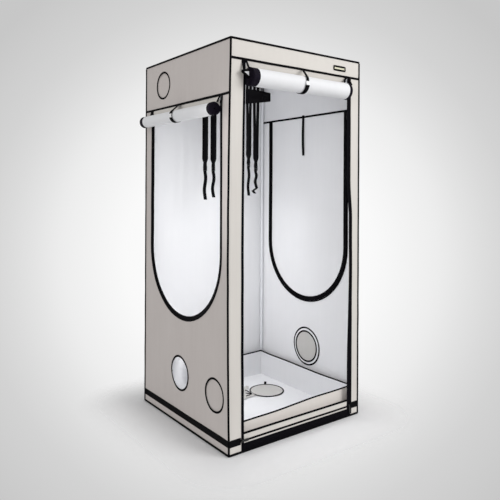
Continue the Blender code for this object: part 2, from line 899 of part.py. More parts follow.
def strapPath(strap):
    """Points (across, up) of one strap, up from the crossbar's axis: sewn round the buckle's top bar, up and over
    the crossbar, down again and woven through the buckle to its hanging tail."""
    wrap = buckleBar / 2 + fitGap + webbingThickness / 2
    layer = webbingThickness + fitGap
    over = tubeRadius + fitGap + webbingThickness / 2
    buckle = -strap["loop"]
    tabTop = buckle + sewnTab
    merge = tabTop + sewnTab
    apart = -convergeDrop
    rising = [(layer / 2, merge)]
    for i in range(1, strapSteps + 1):
        share = i / strapSteps
        out = mixed(layer / 2, strap["spread"], smoothShare((share - 1) * strandCurveShare + 1))
        rising.append((out, mixed(merge, apart, share)))
    rising.append((mixed(over, strap["spread"], spreadEaseShare), -twistLength - tubeRadius))
    falling = [(-out, up) for out, up in rising[::-1]]
    middleBar = buckle - bucklePitch
    lastBar = middleBar - bucklePitch
    tailTop = lastBar - webbingWidth / 2
    stops = [
        (-layer / 2, tabTop),
        (0, buckle, wrap, 1),
        (layer / 2, tabTop),
        *rising,
        (0, 0, over, 1),
        *falling,
        (-layer / 2 - layer, tabTop),
        (0, buckle, wrap + layer, 1),
        (0, middleBar, wrap, -1),
        (0, lastBar, wrap, 1),
    ]
    for i in range(strapSteps + 1):
        share = i / strapSteps
        stops.append((strap["sway"] * math.sin(math.tau * share * swayTurns), tailTop - strap["tail"] * share))
    across, up = stops[-1]
    for aside, down in curlShares if strap["curl"] > 0 else ():
        stops.append((across + strap["curl"] * aside, up - strap["curl"] * down))
    return beltPath(stops, strapArcStep)


hangingStraps = {
    "back_left": {
        "place": backLeftPlace,
        "side": 1,
        "twist": backLeftTwist,
        "loop": backLoopLength,
        "tail": backLeftTail,
        "spread": backSpread,
        "sway": backLeftSway,
        "curl": 0,
    },
    "back_right": {
        "place": backRightPlace,
        "side": 1,
        "twist": backRightTwist,
        "loop": backLoopLength,
        "tail": backRightTail,
        "spread": backSpread,
        "sway": backRightSway,
        "curl": 0,
    },
    "front_left": {
        "place": frontLeftPlace,
        "side": -1,
        "twist": frontLeftTwist,
        "loop": frontLeftLength,
        "tail": frontLeftTail,
        "spread": frontLeftSpread,
        "sway": frontLeftSway,
        "curl": 0,
    },
    "front_right": {
        "place": frontRightPlace,
        "side": -1,
        "twist": frontRightTwist,
        "loop": frontRightLength,
        "tail": frontRightTail,
        "spread": frontRightSpread,
        "sway": frontRightSway,
        "curl": frontRightCurl,
    },
}


def buildHangingStraps(materials):
    buckle = ladderLockMesh()
    for name, strap in hangingStraps.items():
        at = Vector((strap["place"], strap["side"] * crossbarFromMiddle, frameTop))
        bm = bmesh.new()
        loft(bm, bandSections(strapPath(strap), webbingThickness, webbingWidth / 2, twistedPoint(strap["twist"])))
        place("hang_strap_" + name, toMesh("strap_" + name, bm), materials["black_webbing"], at)
        at.z -= strap["loop"]
        turn = Matrix.Rotation(strap["twist"], 3, "Z")
        obj = place("hang_buckle_" + name, buckle, materials["black_plastic"], at, turn)
        rounded(obj, buckleEdge)


def ladderLockMesh():
    """A plate with two windows: its top bar holds the sewn end, and the strap weaves round the other two."""
    half = buckleBar / 2
    inner = webbingWidth / 2 + fitGap + fitGap
    outer = inner + buckleCheek
    heights = []
    for i in range(3):
        heights += [half - bucklePitch * i, -half - bucklePitch * i]
    columns = (-outer, -inner, inner, outer)
    bm = bmesh.new()
    grid = {}
    for depth in (-half, half):
        for a in columns:
            for b in heights:
                grid[a, b, depth] = bm.verts.new((a, depth, b))
    kept = {(c, r) for c in range(3) for r in range(5) if c != 1 or r % 2 == 0}
    for c, r in kept:
        a0, a1 = columns[c], columns[c + 1]
        b0, b1 = heights[r], heights[r + 1]
        for depth in (-half, half):
            bm.faces.new([grid[a, b, depth] for a, b in ((a0, b0), (a1, b0), (a1, b1), (a0, b1))])
        borders = (
            ((c - 1, r), (a0, b0), (a0, b1)),
            ((c + 1, r), (a1, b0), (a1, b1)),
            ((c, r - 1), (a0, b0), (a1, b0)),
            ((c, r + 1), (a0, b1), (a1, b1)),
        )
        for beside, start, end in borders:
            if beside not in kept:
                bm.faces.new(
                    [grid[(*start, -half)], grid[(*end, -half)], grid[(*end, half)], grid[(*start, half)]]
                )
    return toMesh("ladder_lock", bm)


def buildKeeper(materials):
    """A flat black belt round both front loops, its doubled end standing out to the right."""
    clear = webbingThickness + keeperClearance
    low = frontLeftPlace - frontLeftSpread - clear
    high = frontRightPlace + frontRightSpread + clear
    tip = high + keeperTipLength
    inner = webbingWidth / 2 + keeperClearance
    outer = inner + keeperThickness
    end = outer * keeperTipShare
    hole = [(low, -inner), (high, -inner), (high, inner), (low, inner)]
    middle = keeperFoot + keeperHeight / 2
    outline = [(low - keeperThickness, -inner), (low, -outer), (high, -outer)]
    for i in range(keeperSteps + 1):
        angle = math.pi * i / keeperSteps - math.pi / 2
        outline.append((tip - end + end * math.cos(angle), end * math.sin(angle)))
    outline += [(high, outer), (low, outer), (low - keeperThickness, inner)]

    def tapered(a, b, depth):
        share = smoothShare((a - high) / (tip - high))
        half = mixed(keeperHeight, keeperTipHeight, share) / 2
        return Vector((a, b - crossbarFromMiddle, middle + depth * half))

    bm = bmesh.new()
    prism(bm, outline, tapered, -1.0, 1.0)
    obj = place("strap_keeper", toMesh("strap_keeper", bm), materials["black_webbing"])
    bm = bmesh.new()
    top = keeperFoot + keeperHeight + cutOverrun
    prism(bm, hole, lambda a, b, d: Vector((a, b - crossbarFromMiddle, d)), keeperFoot - cutOverrun, top)
    cut(obj, helper("keeper_hole", toMesh("keeper_hole", bm)))


def buildTie(materials):
    """The right window's inner tie, hanging from its seam."""
    x = halfWidth - clothThickness - fitGap - tieThickness / 2
    path = []
    for i in range(tieSteps + 1):
        share = i / tieSteps
        path.append((x - tieSway * math.sin(math.pi * share) * share, sideSeamHeight + tieWidth - tieLength * share))
    bm = bmesh.new()
    rings = bandSections(path, tieThickness, tieWidth / 2, lambda a, b, w: Vector((a, tiePlace + w, b)))
    loft(bm, rings)
    place("right_window_tie", toMesh("right_window_tie", bm), materials["black_webbing"])


def portCoverMesh(name, radius):
    """A round cloth cover seen from inside, growing towards +X from its flat face at 0: a bound rim outside,
    and a beaded seam over the edge of the hole."""
    outer = radius + portLap
    flange = outer - portRimWidth
    bead = radius + portBeadWidth / 2
    profile = [
        (outer, 0),
        (outer, portRimThickness),
        (flange, portRimThickness),
        (flange, portCoverThickness),
        (bead, portCoverThickness),
        (bead, portRimThickness),
        (bead - portBeadWidth, portRimThickness),
        (bead - portBeadWidth, portCoverThickness),
    ]
    bm = bmesh.new()
    turned(bm, profile, portSides)
    bm.transform(Matrix.Rotation(math.radians(90), 4, "Y"))
    return toMesh(name, bm)


def buildPortCovers(materials):
    cloth = materials["cover_cloth"]
    inner = halfWidth - clothThickness - fitGap
    for name, (along, up, radius) in (("left_upper", upperPort), ("left_lower", lowerPort)):
        mesh = portCoverMesh(name, radius)
        place(f"port_cover_{name}", mesh, cloth, (-inner, along, up))
    along, up, radius = rightPort
    turn = Matrix.Rotation(math.pi, 3, "Z")
    place("port_cover_right", portCoverMesh("right", radius), cloth, (inner, along, up), turn)


def sliderMesh(name):
    """A zip slider's body at the origin, its front towards -Y."""
    half = sliderWidth / 2
    foot = sliderFootShare * half
    nose = sliderLength / 2
    outline = [(-half, nose / 2), (-half / 2, nose), (half / 2, nose), (half, nose / 2), (foot, -nose), (-foot, -nose)]
    bm = bmesh.new()
    prism(bm, outline, onFront, -sliderDepth, 0)
    return toMesh(name, bm)


def sliderPull(name):
    """The pull, hanging from the front of the slider: a tab that widens to a rounded end."""
    half = sliderPullWidth / 2
    root = sliderWidth / 4
    outline = [(-root, root), (-half, -sliderPullLength / 2)]
    for i in range(sliderPullSteps + 1):
        angle = math.pi + math.pi * i / sliderPullSteps
        outline.append((half * math.cos(angle), half - sliderPullLength + half * math.sin(angle)))
    outline += [(half, -sliderPullLength / 2), (root, root)]
    bm = bmesh.new()
    prism(bm, outline, onFront, -sliderDepth - sliderPullThickness, -sliderDepth + sliderPullThickness)
    return toMesh(name, bm)


def buildSliders(materials):
    off = fitGap + zipThickness + fitGap
    front = -halfDepth - off
    side = halfWidth + off
    inner = halfWidth - clothThickness - off
    height = sideSeamHeight - windowSliderDrop
    outerPlace = windowSliderInset - windowZipCentre - zipWidth / 2
    aside = Matrix.Rotation(math.radians(-90), 3, "Z")
    straight = Matrix.Identity(3)
    places = {
        "door_slider_left": ((-doorZipCentre, front, doorSliderHeight), straight, leftPullSwing),
        "door_slider_right": ((doorZipCentre, front, doorSliderHeight), straight, rightPullSwing),
        "left_window_slider": ((-side, outerPlace, height), aside, 0),
        "right_window_slider": ((inner, -windowZipCentre, height), aside, 0),
    }
    for name, (at, turn, swing) in places.items():
        obj = place(name, sliderMesh(name), materials["black_plastic"], at, turn)
        pull = helper(name + "_pull", sliderPull(name + "_pull"))
        pull.matrix_world = obj.matrix_world @ Matrix.Rotation(-swing, 4, "Y")
        cut(obj, pull, "UNION")


def sleeveSections():
    """(x, y, z, half width, half height) from the port's hole to the flattened mouth on the tray. The cloth gathers
    in round folds along the way, which die out at the hole."""
    along, up, radius = openPort
    rest = innerFace + trayWall + fitGap
    start = innerFace - halfWidth
    sections = []
    for i in range(sleeveSteps + 1):
        share = i / sleeveSteps
        droop = smoothShare(share / sleeveDroopShare)
        flat = smoothShare(share / sleeveFlattenShare)
        fold = sleeveFold * math.sin(math.pi * share) * math.sin(math.tau * share * sleeveFolds)
        halfHeight = mixed(radius - fitGap, sleeveFlatHalfHeight, flat) + fold
        halfAcross = mixed(radius - fitGap, sleeveFlatHalfWidth, flat) + fold
        x = mixed(start, sleeveMouthX, share)
        y = mixed(along, sleeveMouthY, smoothShare(share))
        z = max(mixed(up, rest + sleeveFlatHalfHeight, droop), rest + halfHeight)
        sections.append((x, y, z, halfAcross, halfHeight))
    return sections


def buildSleeve(materials):
    bm = bmesh.new()
    rings = []
    sections = sleeveSections()
    for inward, row in ((0, sections), (sleeveWall, sections[::-1])):
        for x, y, z, halfAcross, halfHeight in row:
            ring = []
            for a, b in circle(1, sleeveSides):
                ring.append(Vector((x, y + a * (halfAcross - inward), z + b * (halfHeight - inward))))
            rings.append(ring)
    loft(bm, rings, closed=True)
    place("port_sleeve", toMesh("port_sleeve", bm), materials["cover_cloth"], smooth=True)


def buildLid(materials):
    """The sleeve's round lid, lying open on the tray, with its origin on its hinge line."""
    hinge = Vector((sleeveMouthX + lidRimThickness + fitGap, sleeveMouthY, innerFace + trayWall + fitGap))
    profile = [
        (lidRadius, 0),
        (lidRadius, lidRimThickness),
        (lidRadius - lidRimWidth, lidRimThickness),
        (lidRadius - lidRimWidth, lidThickness),
    ]
    bm = bmesh.new()
    turned(bm, profile, portSides)
    bm.transform(Matrix.Translation((lidRadius, 0, 0)))
    obj = place("port_lid", toMesh("port_lid", bm), materials["cover_cloth"], hinge)
    reach = lidRadius - lidRimWidth / 2
    middle = Vector((lidRadius + reach * math.cos(lidTabTurn), reach * math.sin(lidTabTurn), 0))
    thick = lidTabThickness / 2
    wide = lidTabWidth / 2
    bm = bmesh.new()
    box(bm, (-thick, -wide, lidThickness / 2), (thick, wide, lidTabHeight))
    bm.transform(Matrix.Translation(middle) @ Matrix.Rotation(lidTabTurn, 4, "Z"))
    tab = helper("port_lid_tab", toMesh("port_lid_tab", bm))
    tab.location = hinge
    cut(obj, tab, "UNION")


def buildRollStraps(materials):
    black = materials["black_webbing"]
    out = rollStrapGap + rollStrapThickness / 2
    doorAxis = (-doorRollOut, doorRollHeight)
    windowAxis = (-windowRollOut, windowRollHeight)
    along = (doorStrapSeam, doorStrapBuckle)
    buildRollStrap("front_roll_strap", black, frontSeamHeight, doorAxis, doorRollRadius, along, onFrontFace)
    at = onFrontFace(doorStrapBuckle, -doorRollOut - doorRollRadius - out, doorRollHeight)
    buildRollBuckle("front_roll_buckle", materials, at, Matrix.Identity(3))
    along = (windowStrapSeam, windowStrapBuckle)
    buildRollStrap("left_roll_strap", black, sideSeamHeight, windowAxis, windowRollRadius, along, onLeftFace)
    at = onLeftFace(windowStrapBuckle, -windowRollOut - windowRollRadius - out, windowRollHeight)
    buildRollBuckle("left_roll_buckle", materials, at, Matrix.Rotation(math.radians(-90), 3, "Z"))


def main():
    clearScene()
    materials = makeMaterials()
    buildFrame(materials)
    buildCrossbars(materials)
    buildCover(materials)
    buildPiping(materials)
    buildBand(materials)
    buildTray(materials)
    buildZips(materials)
    buildRolls(materials)
    buildRollStraps(materials)
    buildHangingStraps(materials)
    buildKeeper(materials)
    buildTie(materials)
    buildPortCovers(materials)
    buildSliders(materials)
    buildSleeve(materials)
    buildLid(materials)


main()
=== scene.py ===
import math

import bmesh
import bpy
from mathutils import Matrix, Vector, noise


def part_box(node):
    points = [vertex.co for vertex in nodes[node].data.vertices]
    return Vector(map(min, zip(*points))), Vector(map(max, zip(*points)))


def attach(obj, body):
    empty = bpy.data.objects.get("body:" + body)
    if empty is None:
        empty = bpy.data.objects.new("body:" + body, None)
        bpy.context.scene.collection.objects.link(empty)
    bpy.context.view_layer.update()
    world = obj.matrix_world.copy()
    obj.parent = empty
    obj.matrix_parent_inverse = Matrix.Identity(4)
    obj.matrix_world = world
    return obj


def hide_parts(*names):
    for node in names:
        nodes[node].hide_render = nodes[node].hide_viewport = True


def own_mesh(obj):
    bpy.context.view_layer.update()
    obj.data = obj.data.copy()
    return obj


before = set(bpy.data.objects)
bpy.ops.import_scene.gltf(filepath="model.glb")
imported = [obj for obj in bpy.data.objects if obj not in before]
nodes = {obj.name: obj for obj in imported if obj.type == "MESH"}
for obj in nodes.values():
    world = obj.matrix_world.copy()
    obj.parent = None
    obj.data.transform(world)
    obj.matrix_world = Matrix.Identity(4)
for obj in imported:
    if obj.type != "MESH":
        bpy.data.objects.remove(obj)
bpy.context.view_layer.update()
scene = bpy.context.scene
tent = {"halfWidth": 0.400, "halfDepth": 0.400, "height": 1.800, "cloth": 0.0015}


# shader maths: a Level is a socket, and + - * / on it add Math nodes

class Level:
    def __init__(self, network, socket):
        self.network = network
        self.socket = socket

    def math(self, operation, first, second):
        return self.network.node("ShaderNodeMath", {"operation": operation}, {0: first, 1: second})

    def __add__(self, other):
        return self.math("ADD", self, other)

    def __radd__(self, other):
        return self.math("ADD", other, self)

    def __sub__(self, other):
        return self.math("SUBTRACT", self, other)

    def __rsub__(self, other):
        return self.math("SUBTRACT", other, self)

    def __mul__(self, other):
        return self.math("MULTIPLY", self, other)

    def __rmul__(self, other):
        return self.math("MULTIPLY", other, self)

    def __truediv__(self, other):
        return self.math("DIVIDE", self, other)

    def __pow__(self, other):
        return self.math("POWER", self, other)

    def __gt__(self, other):
        return self.math("GREATER_THAN", self, other)

    def __lt__(self, other):
        return self.math("LESS_THAN", self, other)


class Network:
    # the nodes of a material or of the world
    def __init__(self, owner):
        owner.use_nodes = True
        self.tree = owner.node_tree

    def node(self, kind, settings=None, values=None, output=0):
        made = self.tree.nodes.new(kind)
        for key, value in (settings or {}).items():
            if key == "stops":
                ramp = made.color_ramp
                while len(ramp.elements) < len(value):
                    ramp.elements.new(0.5)
                for element, (at, tone) in zip(ramp.elements, value):
                    element.position = at
                    element.color = (*tone, 1)
            else:
                setattr(made, key, value)
        for key, value in (values or {}).items():
            self.join(value, made.inputs[key])
        return Level(self, made.outputs[output])

    def join(self, value, socket):
        if isinstance(value, Level):
            self.tree.links.new(value.socket, socket)
        else:
            socket.default_value = value


class Finish(Network):
    # a Principled material: what varies is joined to it by feed(), what doesn't stands on its own sockets
    def __init__(self, name, color, constants):
        self.material = bpy.data.materials.new(name)
        super().__init__(self.material)
        self.shader = self.tree.nodes["Principled BSDF"]
        self.shader.inputs["Base Color"].default_value = (*color, 1)
        for label, value in constants.items():
            self.shader.inputs[label].default_value = value
        self.place = self.node("ShaderNodeTexCoord", output="Object")

    def feed(self, label, value):
        self.join(value, self.shader.inputs[label])

    def mix(self, share, first, second):
        made = self.tree.nodes.new("ShaderNodeMix")
        made.data_type = "RGBA"
        for key, value in ((0, share), (6, first), (7, second)):
            self.join((*value, 1) if isinstance(value, tuple) else value, made.inputs[key])
        return Level(self, made.outputs[2])

    def noise(self, scale, detail=2.0, roughness=0.5, stretch=None):
        at = self.place
        if stretch:
            at = self.node("ShaderNodeMapping", {}, {"Vector": self.place, "Scale": stretch})
        values = {"Vector": at, "Scale": scale, "Detail": detail, "Roughness": roughness}
        return self.node("ShaderNodeTexNoise", {}, values)

    def bump(self, height, distance, strength=1.0):
        values = {"Height": height, "Distance": distance, "Strength": strength}
        self.feed("Normal", self.node("ShaderNodeBump", {}, values))

    def threads(self, spacing):
        # a plain weave: sine ridges across and along, read off the piece's own place
        parts = self.node("ShaderNodeSeparateXYZ", {}, {"Vector": self.place})
        x, y, z = (Level(self, parts.socket.node.outputs[i]) for i in range(3))
        turn = math.tau / spacing
        return self.sine((x + y) * turn) * self.sine(z * turn)

    def sine(self, value):
        return self.node("ShaderNodeMath", {"operation": "SINE"}, {0: value})


def shade(r, g, b):
    # an eight-bit colour as the linear values that Blender's sockets hold
    return tuple(((c / 255 + 0.055) / 1.055) ** 2.4 if c > 10 else c / 255 / 12.92 for c in (r, g, b))


def coatedCloth(name, color, dark, spacing, sheen):
    # tightly woven, coated cloth: fine weave, soft cloudy tone and faint vertical stretch marks
    made = Finish(name, color, {"Roughness": 0.62, "Sheen Weight": sheen, "Sheen Roughness": 0.45})
    cloud = made.noise(3.2, 3.0, 0.55)
    streak = made.noise(5.0, 2.0, 0.5, (9.0, 9.0, 0.6))
    weave = made.threads(spacing)
    made.feed("Base Color", made.mix(cloud * 0.45 + streak * 0.35 + weave * 0.04, color, dark))
    made.feed("Roughness", 0.52 + cloud * 0.16 + weave * 0.03)
    made.bump(weave * 0.12 + streak * 0.5 + made.noise(420.0) * 0.10, 0.0012, 0.5)
    return made.material


def wovenBlack(name, color, light, spacing, shine):
    # webbing and tape: a coarse ribbed weave that catches a little light on its ridges
    made = Finish(name, color, {"Roughness": 0.7, "Specular IOR Level": shine})
    weave = made.threads(spacing)
    wear = made.noise(60.0, 3.0)
    # the light tone comes up on the weave's ridges and in blotches of wear; in the rolled tape's finish
    # that tone is purple and is a painted highlight
    made.feed("Base Color", made.mix(weave * 0.3 + wear * 0.4, color, light))
    made.feed("Roughness", 0.66 + wear * 0.14)
    made.bump(weave * 0.6 + made.noise(900.0) * 0.3, 0.0004, 0.7)
    return made.material


def mouldedPlastic(name, color, light, gloss, shine):
    made = Finish(name, color, {"Roughness": gloss, "Specular IOR Level": shine})
    grain = made.noise(900.0, 2.0)
    scuff = made.noise(45.0, 4.0, 0.6)
    made.feed("Base Color", made.mix(scuff * 0.5, color, light))
    made.feed("Roughness", gloss + scuff * 0.12)
    made.bump(grain * 0.4 + scuff * 0.2, 0.0002, 0.5)
    return made.material


def enamel(name, color, shadeColor):
    # powder coat: orange peel, and a little wear where the tube has been handled
    made = Finish(name, color, {"Roughness": 0.32, "Coat Roughness": 0.2})
    peel = made.noise(260.0, 2.0)
    wear = made.noise(18.0, 4.0, 0.65)
    made.feed("Base Color", made.mix(wear * 0.4, color, shadeColor))
    made.feed("Roughness", 0.26 + wear * 0.2)
    made.feed("Coat Weight", 0.15 + wear * 0.1)
    made.bump(peel * 0.4 + wear * 0.1, 0.0003, 0.4)
    return made.material


finishes = {
    "cover": coatedCloth("cover_cloth", shade(223, 219, 213), shade(206, 200, 194), 0.0016, 0.08),
    # the side walls' cloth: the same cloth as the cover, its colour darker as painted shade for the walls
    # turned from the light, and a little pinker
    "side": coatedCloth("side_cloth_painted_shade", shade(213, 206, 202), shade(195, 186, 182), 0.0016, 0.08),
    "lining": coatedCloth("lining_cloth", shade(241, 241, 243), shade(229, 230, 233), 0.0016, 0.05),
    "lid": coatedCloth("lid_cloth", shade(206, 204, 201), shade(190, 188, 185), 0.0016, 0.05),
    "webbing": wovenBlack("black_webbing", shade(5, 4, 6), shade(15, 14, 18), 0.0022, 0.06),
    "zipTape": wovenBlack("zip_tape", shade(4, 3, 6), shade(15, 13, 24), 0.0012, 0.06),
    # the coiled tape at the rolls' ends: its purple light tone is a painted highlight, mixed in by the
    # weave and the noise
    "rolledTapeHighlighted": wovenBlack("rolled_tape_painted_highlights", shade(4, 3, 5), shade(40, 28, 56), 0.0012, 0.10),
    # the tray's outside: the beige cover cloth made lighter, painted light that makes up for the shade on
    # the tray's front wall
    "trayOutLit": coatedCloth("tray_outside_painted_light", shade(234, 228, 223), shade(220, 213, 207), 0.0016, 0.05),
    "binding": wovenBlack("black_binding", shade(4, 3, 5), shade(13, 12, 17), 0.0012, 0.05),
    "black": mouldedPlastic("black_plastic", shade(6, 6, 7), shade(14, 14, 16), 0.28, 0.45),
    "connector": mouldedPlastic("connector_plastic", shade(92, 92, 95), shade(74, 74, 77), 0.45, 0.4),
    "white": mouldedPlastic("white_plastic", shade(243, 243, 244), shade(225, 225, 226), 0.30, 0.4),
    "enamel": enamel("white_enamel", shade(236, 238, 242), shade(218, 221, 226)),
    "label": coatedCloth("label_cloth", shade(226, 224, 200), shade(206, 203, 176), 0.0008, 0.05),
}
print("finishes", len(finishes))


# pieces: each is made in a bmesh, goes where the solids say and rides on a body

def piece(name, bm, finish, body, replaces=(), second=None):
    bmesh.ops.remove_doubles(bm, verts=bm.verts, dist=1e-6)
    bmesh.ops.recalc_face_normals(bm, faces=bm.faces)
    mesh = bpy.data.meshes.new(name)
    bm.to_mesh(mesh)
    bm.free()
    for face in mesh.polygons:
        face.use_smooth = True
    mesh.set_sharp_from_angle(angle=math.radians(40))
    mesh.materials.append(finishes[finish])
    if second:
        mesh.materials.append(finishes[second])
    obj = bpy.data.objects.new(name, mesh)
    scene.collection.objects.link(obj)
    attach(obj, body)
    if replaces:
        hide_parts(*replaces)
    return obj


def loose(name, bm):
    # an object on no body: a scratch one for a modifier, or the studio's floor
    mesh = bpy.data.meshes.new(name)
    bm.to_mesh(mesh)
    bm.free()
    obj = bpy.data.objects.new(name, mesh)
    scene.collection.objects.link(obj)
    return obj


def settled(obj):
    # the mesh after its modifiers, as a bmesh; the scratch object is removed
    bm = bmesh.new()
    evaluated = obj.evaluated_get(bpy.context.evaluated_depsgraph_get())
    mesh = bpy.data.meshes.new_from_object(evaluated)
    bm.from_mesh(mesh)
    bpy.data.meshes.remove(mesh)
    bpy.data.objects.remove(obj)
    bmesh.ops.remove_doubles(bm, verts=bm.verts, dist=1e-6)
    return bm


def spline(name, points, closed):
    data = bpy.data.curves.new(name, "CURVE")
    data.dimensions = "3D"
    data.twist_mode = "Z_UP"
    line = data.splines.new("POLY")
    line.points.add(len(points) - 1)
    for point, place in zip(line.points, points):
        point.co = (*place, 0, 1)
    line.use_cyclic_u = closed
    return data


def sweep(path, section, closed=False):
    # a section (right of the path, out of the plane) carried along a flat path
    cut = bpy.data.objects.new("section", spline("section", section, True))
    rail = spline("rail", path, closed)
    cut.data.dimensions = "2D"
    rail.bevel_mode = "OBJECT"
    rail.bevel_object = cut
    rail.use_fill_caps = True
    carrier = bpy.data.objects.new("rail", rail)
    scene.collection.objects.link(cut)
    scene.collection.objects.link(carrier)
    bm = settled(carrier)
    bpy.data.objects.remove(cut)
    return bm


def merged(*parts):
    # several bmeshes as one, each keeping its own material number
    whole = bmesh.new()
    for part in parts:
        scratch = bpy.data.meshes.new("scratch")
        part.to_mesh(scratch)
        part.free()
        whole.from_mesh(scratch)
        bpy.data.meshes.remove(scratch)
    return whole


def solidified(name, bm, thickness, offset):
    # a thin sheet given its thickness, inwards at -1 and on both sides at 0
    sheet = loose(name, bm)
    modifier = sheet.modifiers.new("thickness", "SOLIDIFY")
    modifier.thickness = thickness
    modifier.offset = offset
    return settled(sheet)


def lifted(bm, out):
    bmesh.ops.translate(bm, verts=bm.verts, vec=(0, 0, out))
    return bm


def raised(bm, faces, high):
    # flat faces made a solid by raising a copy of them
    grown = bmesh.ops.extrude_face_region(bm, geom=faces)
    top = [part for part in grown["geom"] if isinstance(part, bmesh.types.BMVert)]
    bmesh.ops.translate(bm, verts=top, vec=(0, 0, high))


def ellipse(wide, tall, u=0.0, v=0.0, count=48):
    turns = [math.tau * i / count for i in range(count)]
    return [(u + wide * math.cos(turn), v + tall * math.sin(turn)) for turn in turns]


def ringedDisc(radius, sides, rings, step):
    # a flat disc of rings of faces round a small middle
    bm = bmesh.new()
    bmesh.ops.create_circle(bm, cap_ends=True, segments=sides, radius=radius)
    for i in range(rings):
        inner = [face for face in bm.faces if len(face.verts) > 4]
        bmesh.ops.inset_region(bm, faces=inner, use_boundary=True, thickness=step)
    return bm


def eased(value):
    value = min(max(value, 0.0), 1.0)
    return value * value * (3 - 2 * value)


def between(first, last, share):
    return first + (last - first) * share


def drift(*place):
    # smooth noise between -1 and 1
    return noise.noise(Vector(place))


def dense(points, step):
    # a flat path with more points between its own
    path = []
    for (a, b), (c, d) in zip(points, points[1:]):
        steps = max(1, round(math.hypot(c - a, d - b) / step))
        for k in range(steps):
            path.append((between(a, c, k / steps), between(b, d, k / steps)))
    return path + [points[-1]]


def denseRing(corners, step):
    return dense(corners + corners[:1], step)[:-1]


# walls: u runs along a wall, v up it and out away from the tent. The drawn cloth billows a little

bow = 0.0105  # how far the cloth's near corner stands out to the left, halfway up


def bowed(v, share):
    return bow * math.sin(math.pi * min(max(v / tent["height"], 0), 1)) * eased(share)


def onLeft(u, v, out):
    return Vector((-tent["halfWidth"] - out - bowed(v, (-0.335 - u) / 0.065), u, v))


def onFront(u, v, out):
    return Vector((u - bowed(v, (-0.2 - u) / 0.2), -tent["halfDepth"] - out, v))


walls = {
    "left": {"at": onLeft, "seed": 11, "swell": 0.0030},
    "right": {"at": lambda u, v, out: Vector((tent["halfWidth"] + out, u, v)), "seed": 23, "swell": 0.0030},
    "front": {"at": onFront, "seed": 37, "swell": 0.0010},
    "back": {"at": lambda u, v, out: Vector((u, tent["halfDepth"] + out, v)), "seed": 41, "swell": 0.0034},
    "roof": {"at": lambda u, v, out: Vector((u, v, tent["height"] + out)), "seed": 53, "swell": 0.0030},
    "floor": {"at": lambda u, v, out: Vector((u, v, -out)), "seed": 67, "swell": 0.0},
}


def billow(wall, u, v):
    flat = wall in ("roof", "floor")
    edge = tent["halfWidth"] - abs(u)
    edge = min(edge, tent["halfDepth"] - abs(v) if flat else min(v, tent["height"] - v))
    seed = walls[wall]["seed"]
    wide = drift(u * 2.1, v * 1.2, seed)
    fine = drift(u * 7.0, v * 2.0, seed + 5)
    return walls[wall]["swell"] * (wide + 0.35 * fine) * eased((edge - 0.012) / 0.09)


def ontoWall(bm, wall):
    # bmesh drawn flat in (u, v, out) put on its wall, following the cloth
    for vert in bm.verts:
        u, v, out = vert.co
        vert.co = walls[wall]["at"](u, v, out + billow(wall, u, v))
    return bm


def laid(bm, wall, out):
    # flat work on its wall, or turned over and behind the cloth where out is below zero
    if out < 0:
        bmesh.ops.scale(bm, verts=bm.verts, vec=(1, 1, -1))
    return ontoWall(lifted(bm, out), wall)


def drawOutline(bm, outline, low, high):
    # a closed prism over a flat outline, to cut with
    verts = [bm.verts.new((u, v, low)) for u, v in outline]
    raised(bm, [bm.faces.new(verts)], high - low)
    bmesh.ops.recalc_face_normals(bm, faces=bm.faces)


def arch(half, top, foot, count=28):
    # the U of a window: straight sides down to a half circle
    points = [(half, top)]
    for i in range(count + 1):
        turn = -math.pi * i / count
        points.append((half * math.cos(turn), foot + half * math.sin(turn)))
    return points + [(-half, top)]


openings = {
    "windowHalf": 0.328,
    "windowFoot": 0.850,
    "sideSeam": 1.563,
    "frontSeam": 1.715,
    "doorHalf": 0.330,
    "sill": 0.085,
    "upperPort": (0.210, 1.680, 0.066),
    "openPort": (0.022, 0.250, 0.080),
    "lowerPort": (-0.285, 0.232, 0.072),
    "rightPort": (-0.015, 0.259, 0.080),
}
windowCut = arch(openings["windowHalf"], openings["sideSeam"], openings["windowFoot"])


def portCut(name):
    u, v, radius = openings[name]
    return ellipse(radius, radius, u, v)


panel = {"cell": 0.014, "inset": 0.0033, "foot": 0.0063}


def gridSheet(low, high, columns, rows, over=0.0):
    # a flat grid between two corners, or beyond them by half of over
    (u0, v0), (u1, v1) = low, high
    bm = bmesh.new()
    middle = Matrix.Translation(((u0 + u1) / 2, (v0 + v1) / 2, 0))
    spans = Matrix.Diagonal((u1 - u0 + over, v1 - v0 + over, 1, 1))
    bmesh.ops.create_grid(bm, x_segments=columns, y_segments=rows, size=0.5, matrix=middle @ spans)
    return bm


def clothSlab(low, high, over=0.0):
    # a gridded sheet as thick as the cloth, its outside at zero
    columns, rows = (round((b - a) / panel["cell"]) for a, b in zip(low, high))
    bm = gridSheet(low, high, columns, rows, over)
    bmesh.ops.solidify(bm, geom=bm.faces, thickness=tent["cloth"])
    for vert in bm.verts:
        vert.co.z = -tent["cloth"] if abs(vert.co.z) > tent["cloth"] / 2 else 0
    bmesh.ops.recalc_face_normals(bm, faces=bm.faces)
    return loose("slab", bm)


def cutCloth(slab, outlines, operation):
    # a slab cut along outlines, its inner faces marked as lining, and the area of that side
    cutters = []
    for outline in outlines:
        bm = bmesh.new()
        drawOutline(bm, outline, -0.01, 0.01)
        cutters.append(loose("cutter", bm))
        modifier = slab.modifiers.new("cut", "BOOLEAN")
        modifier.operation = operation
        modifier.solver = "EXACT"
        modifier.object = cutters[-1]
    bm = settled(slab)
    for cutter in cutters:
        bpy.data.objects.remove(cutter)
    area = 0.0
    for face in bm.faces:
        inside = face.calc_center_median().z < -tent["cloth"] / 2
        face.material_index = 1 if inside else 0
        area += face.calc_area() if inside and abs(face.normal.z) > 0.5 else 0
    return bm, area


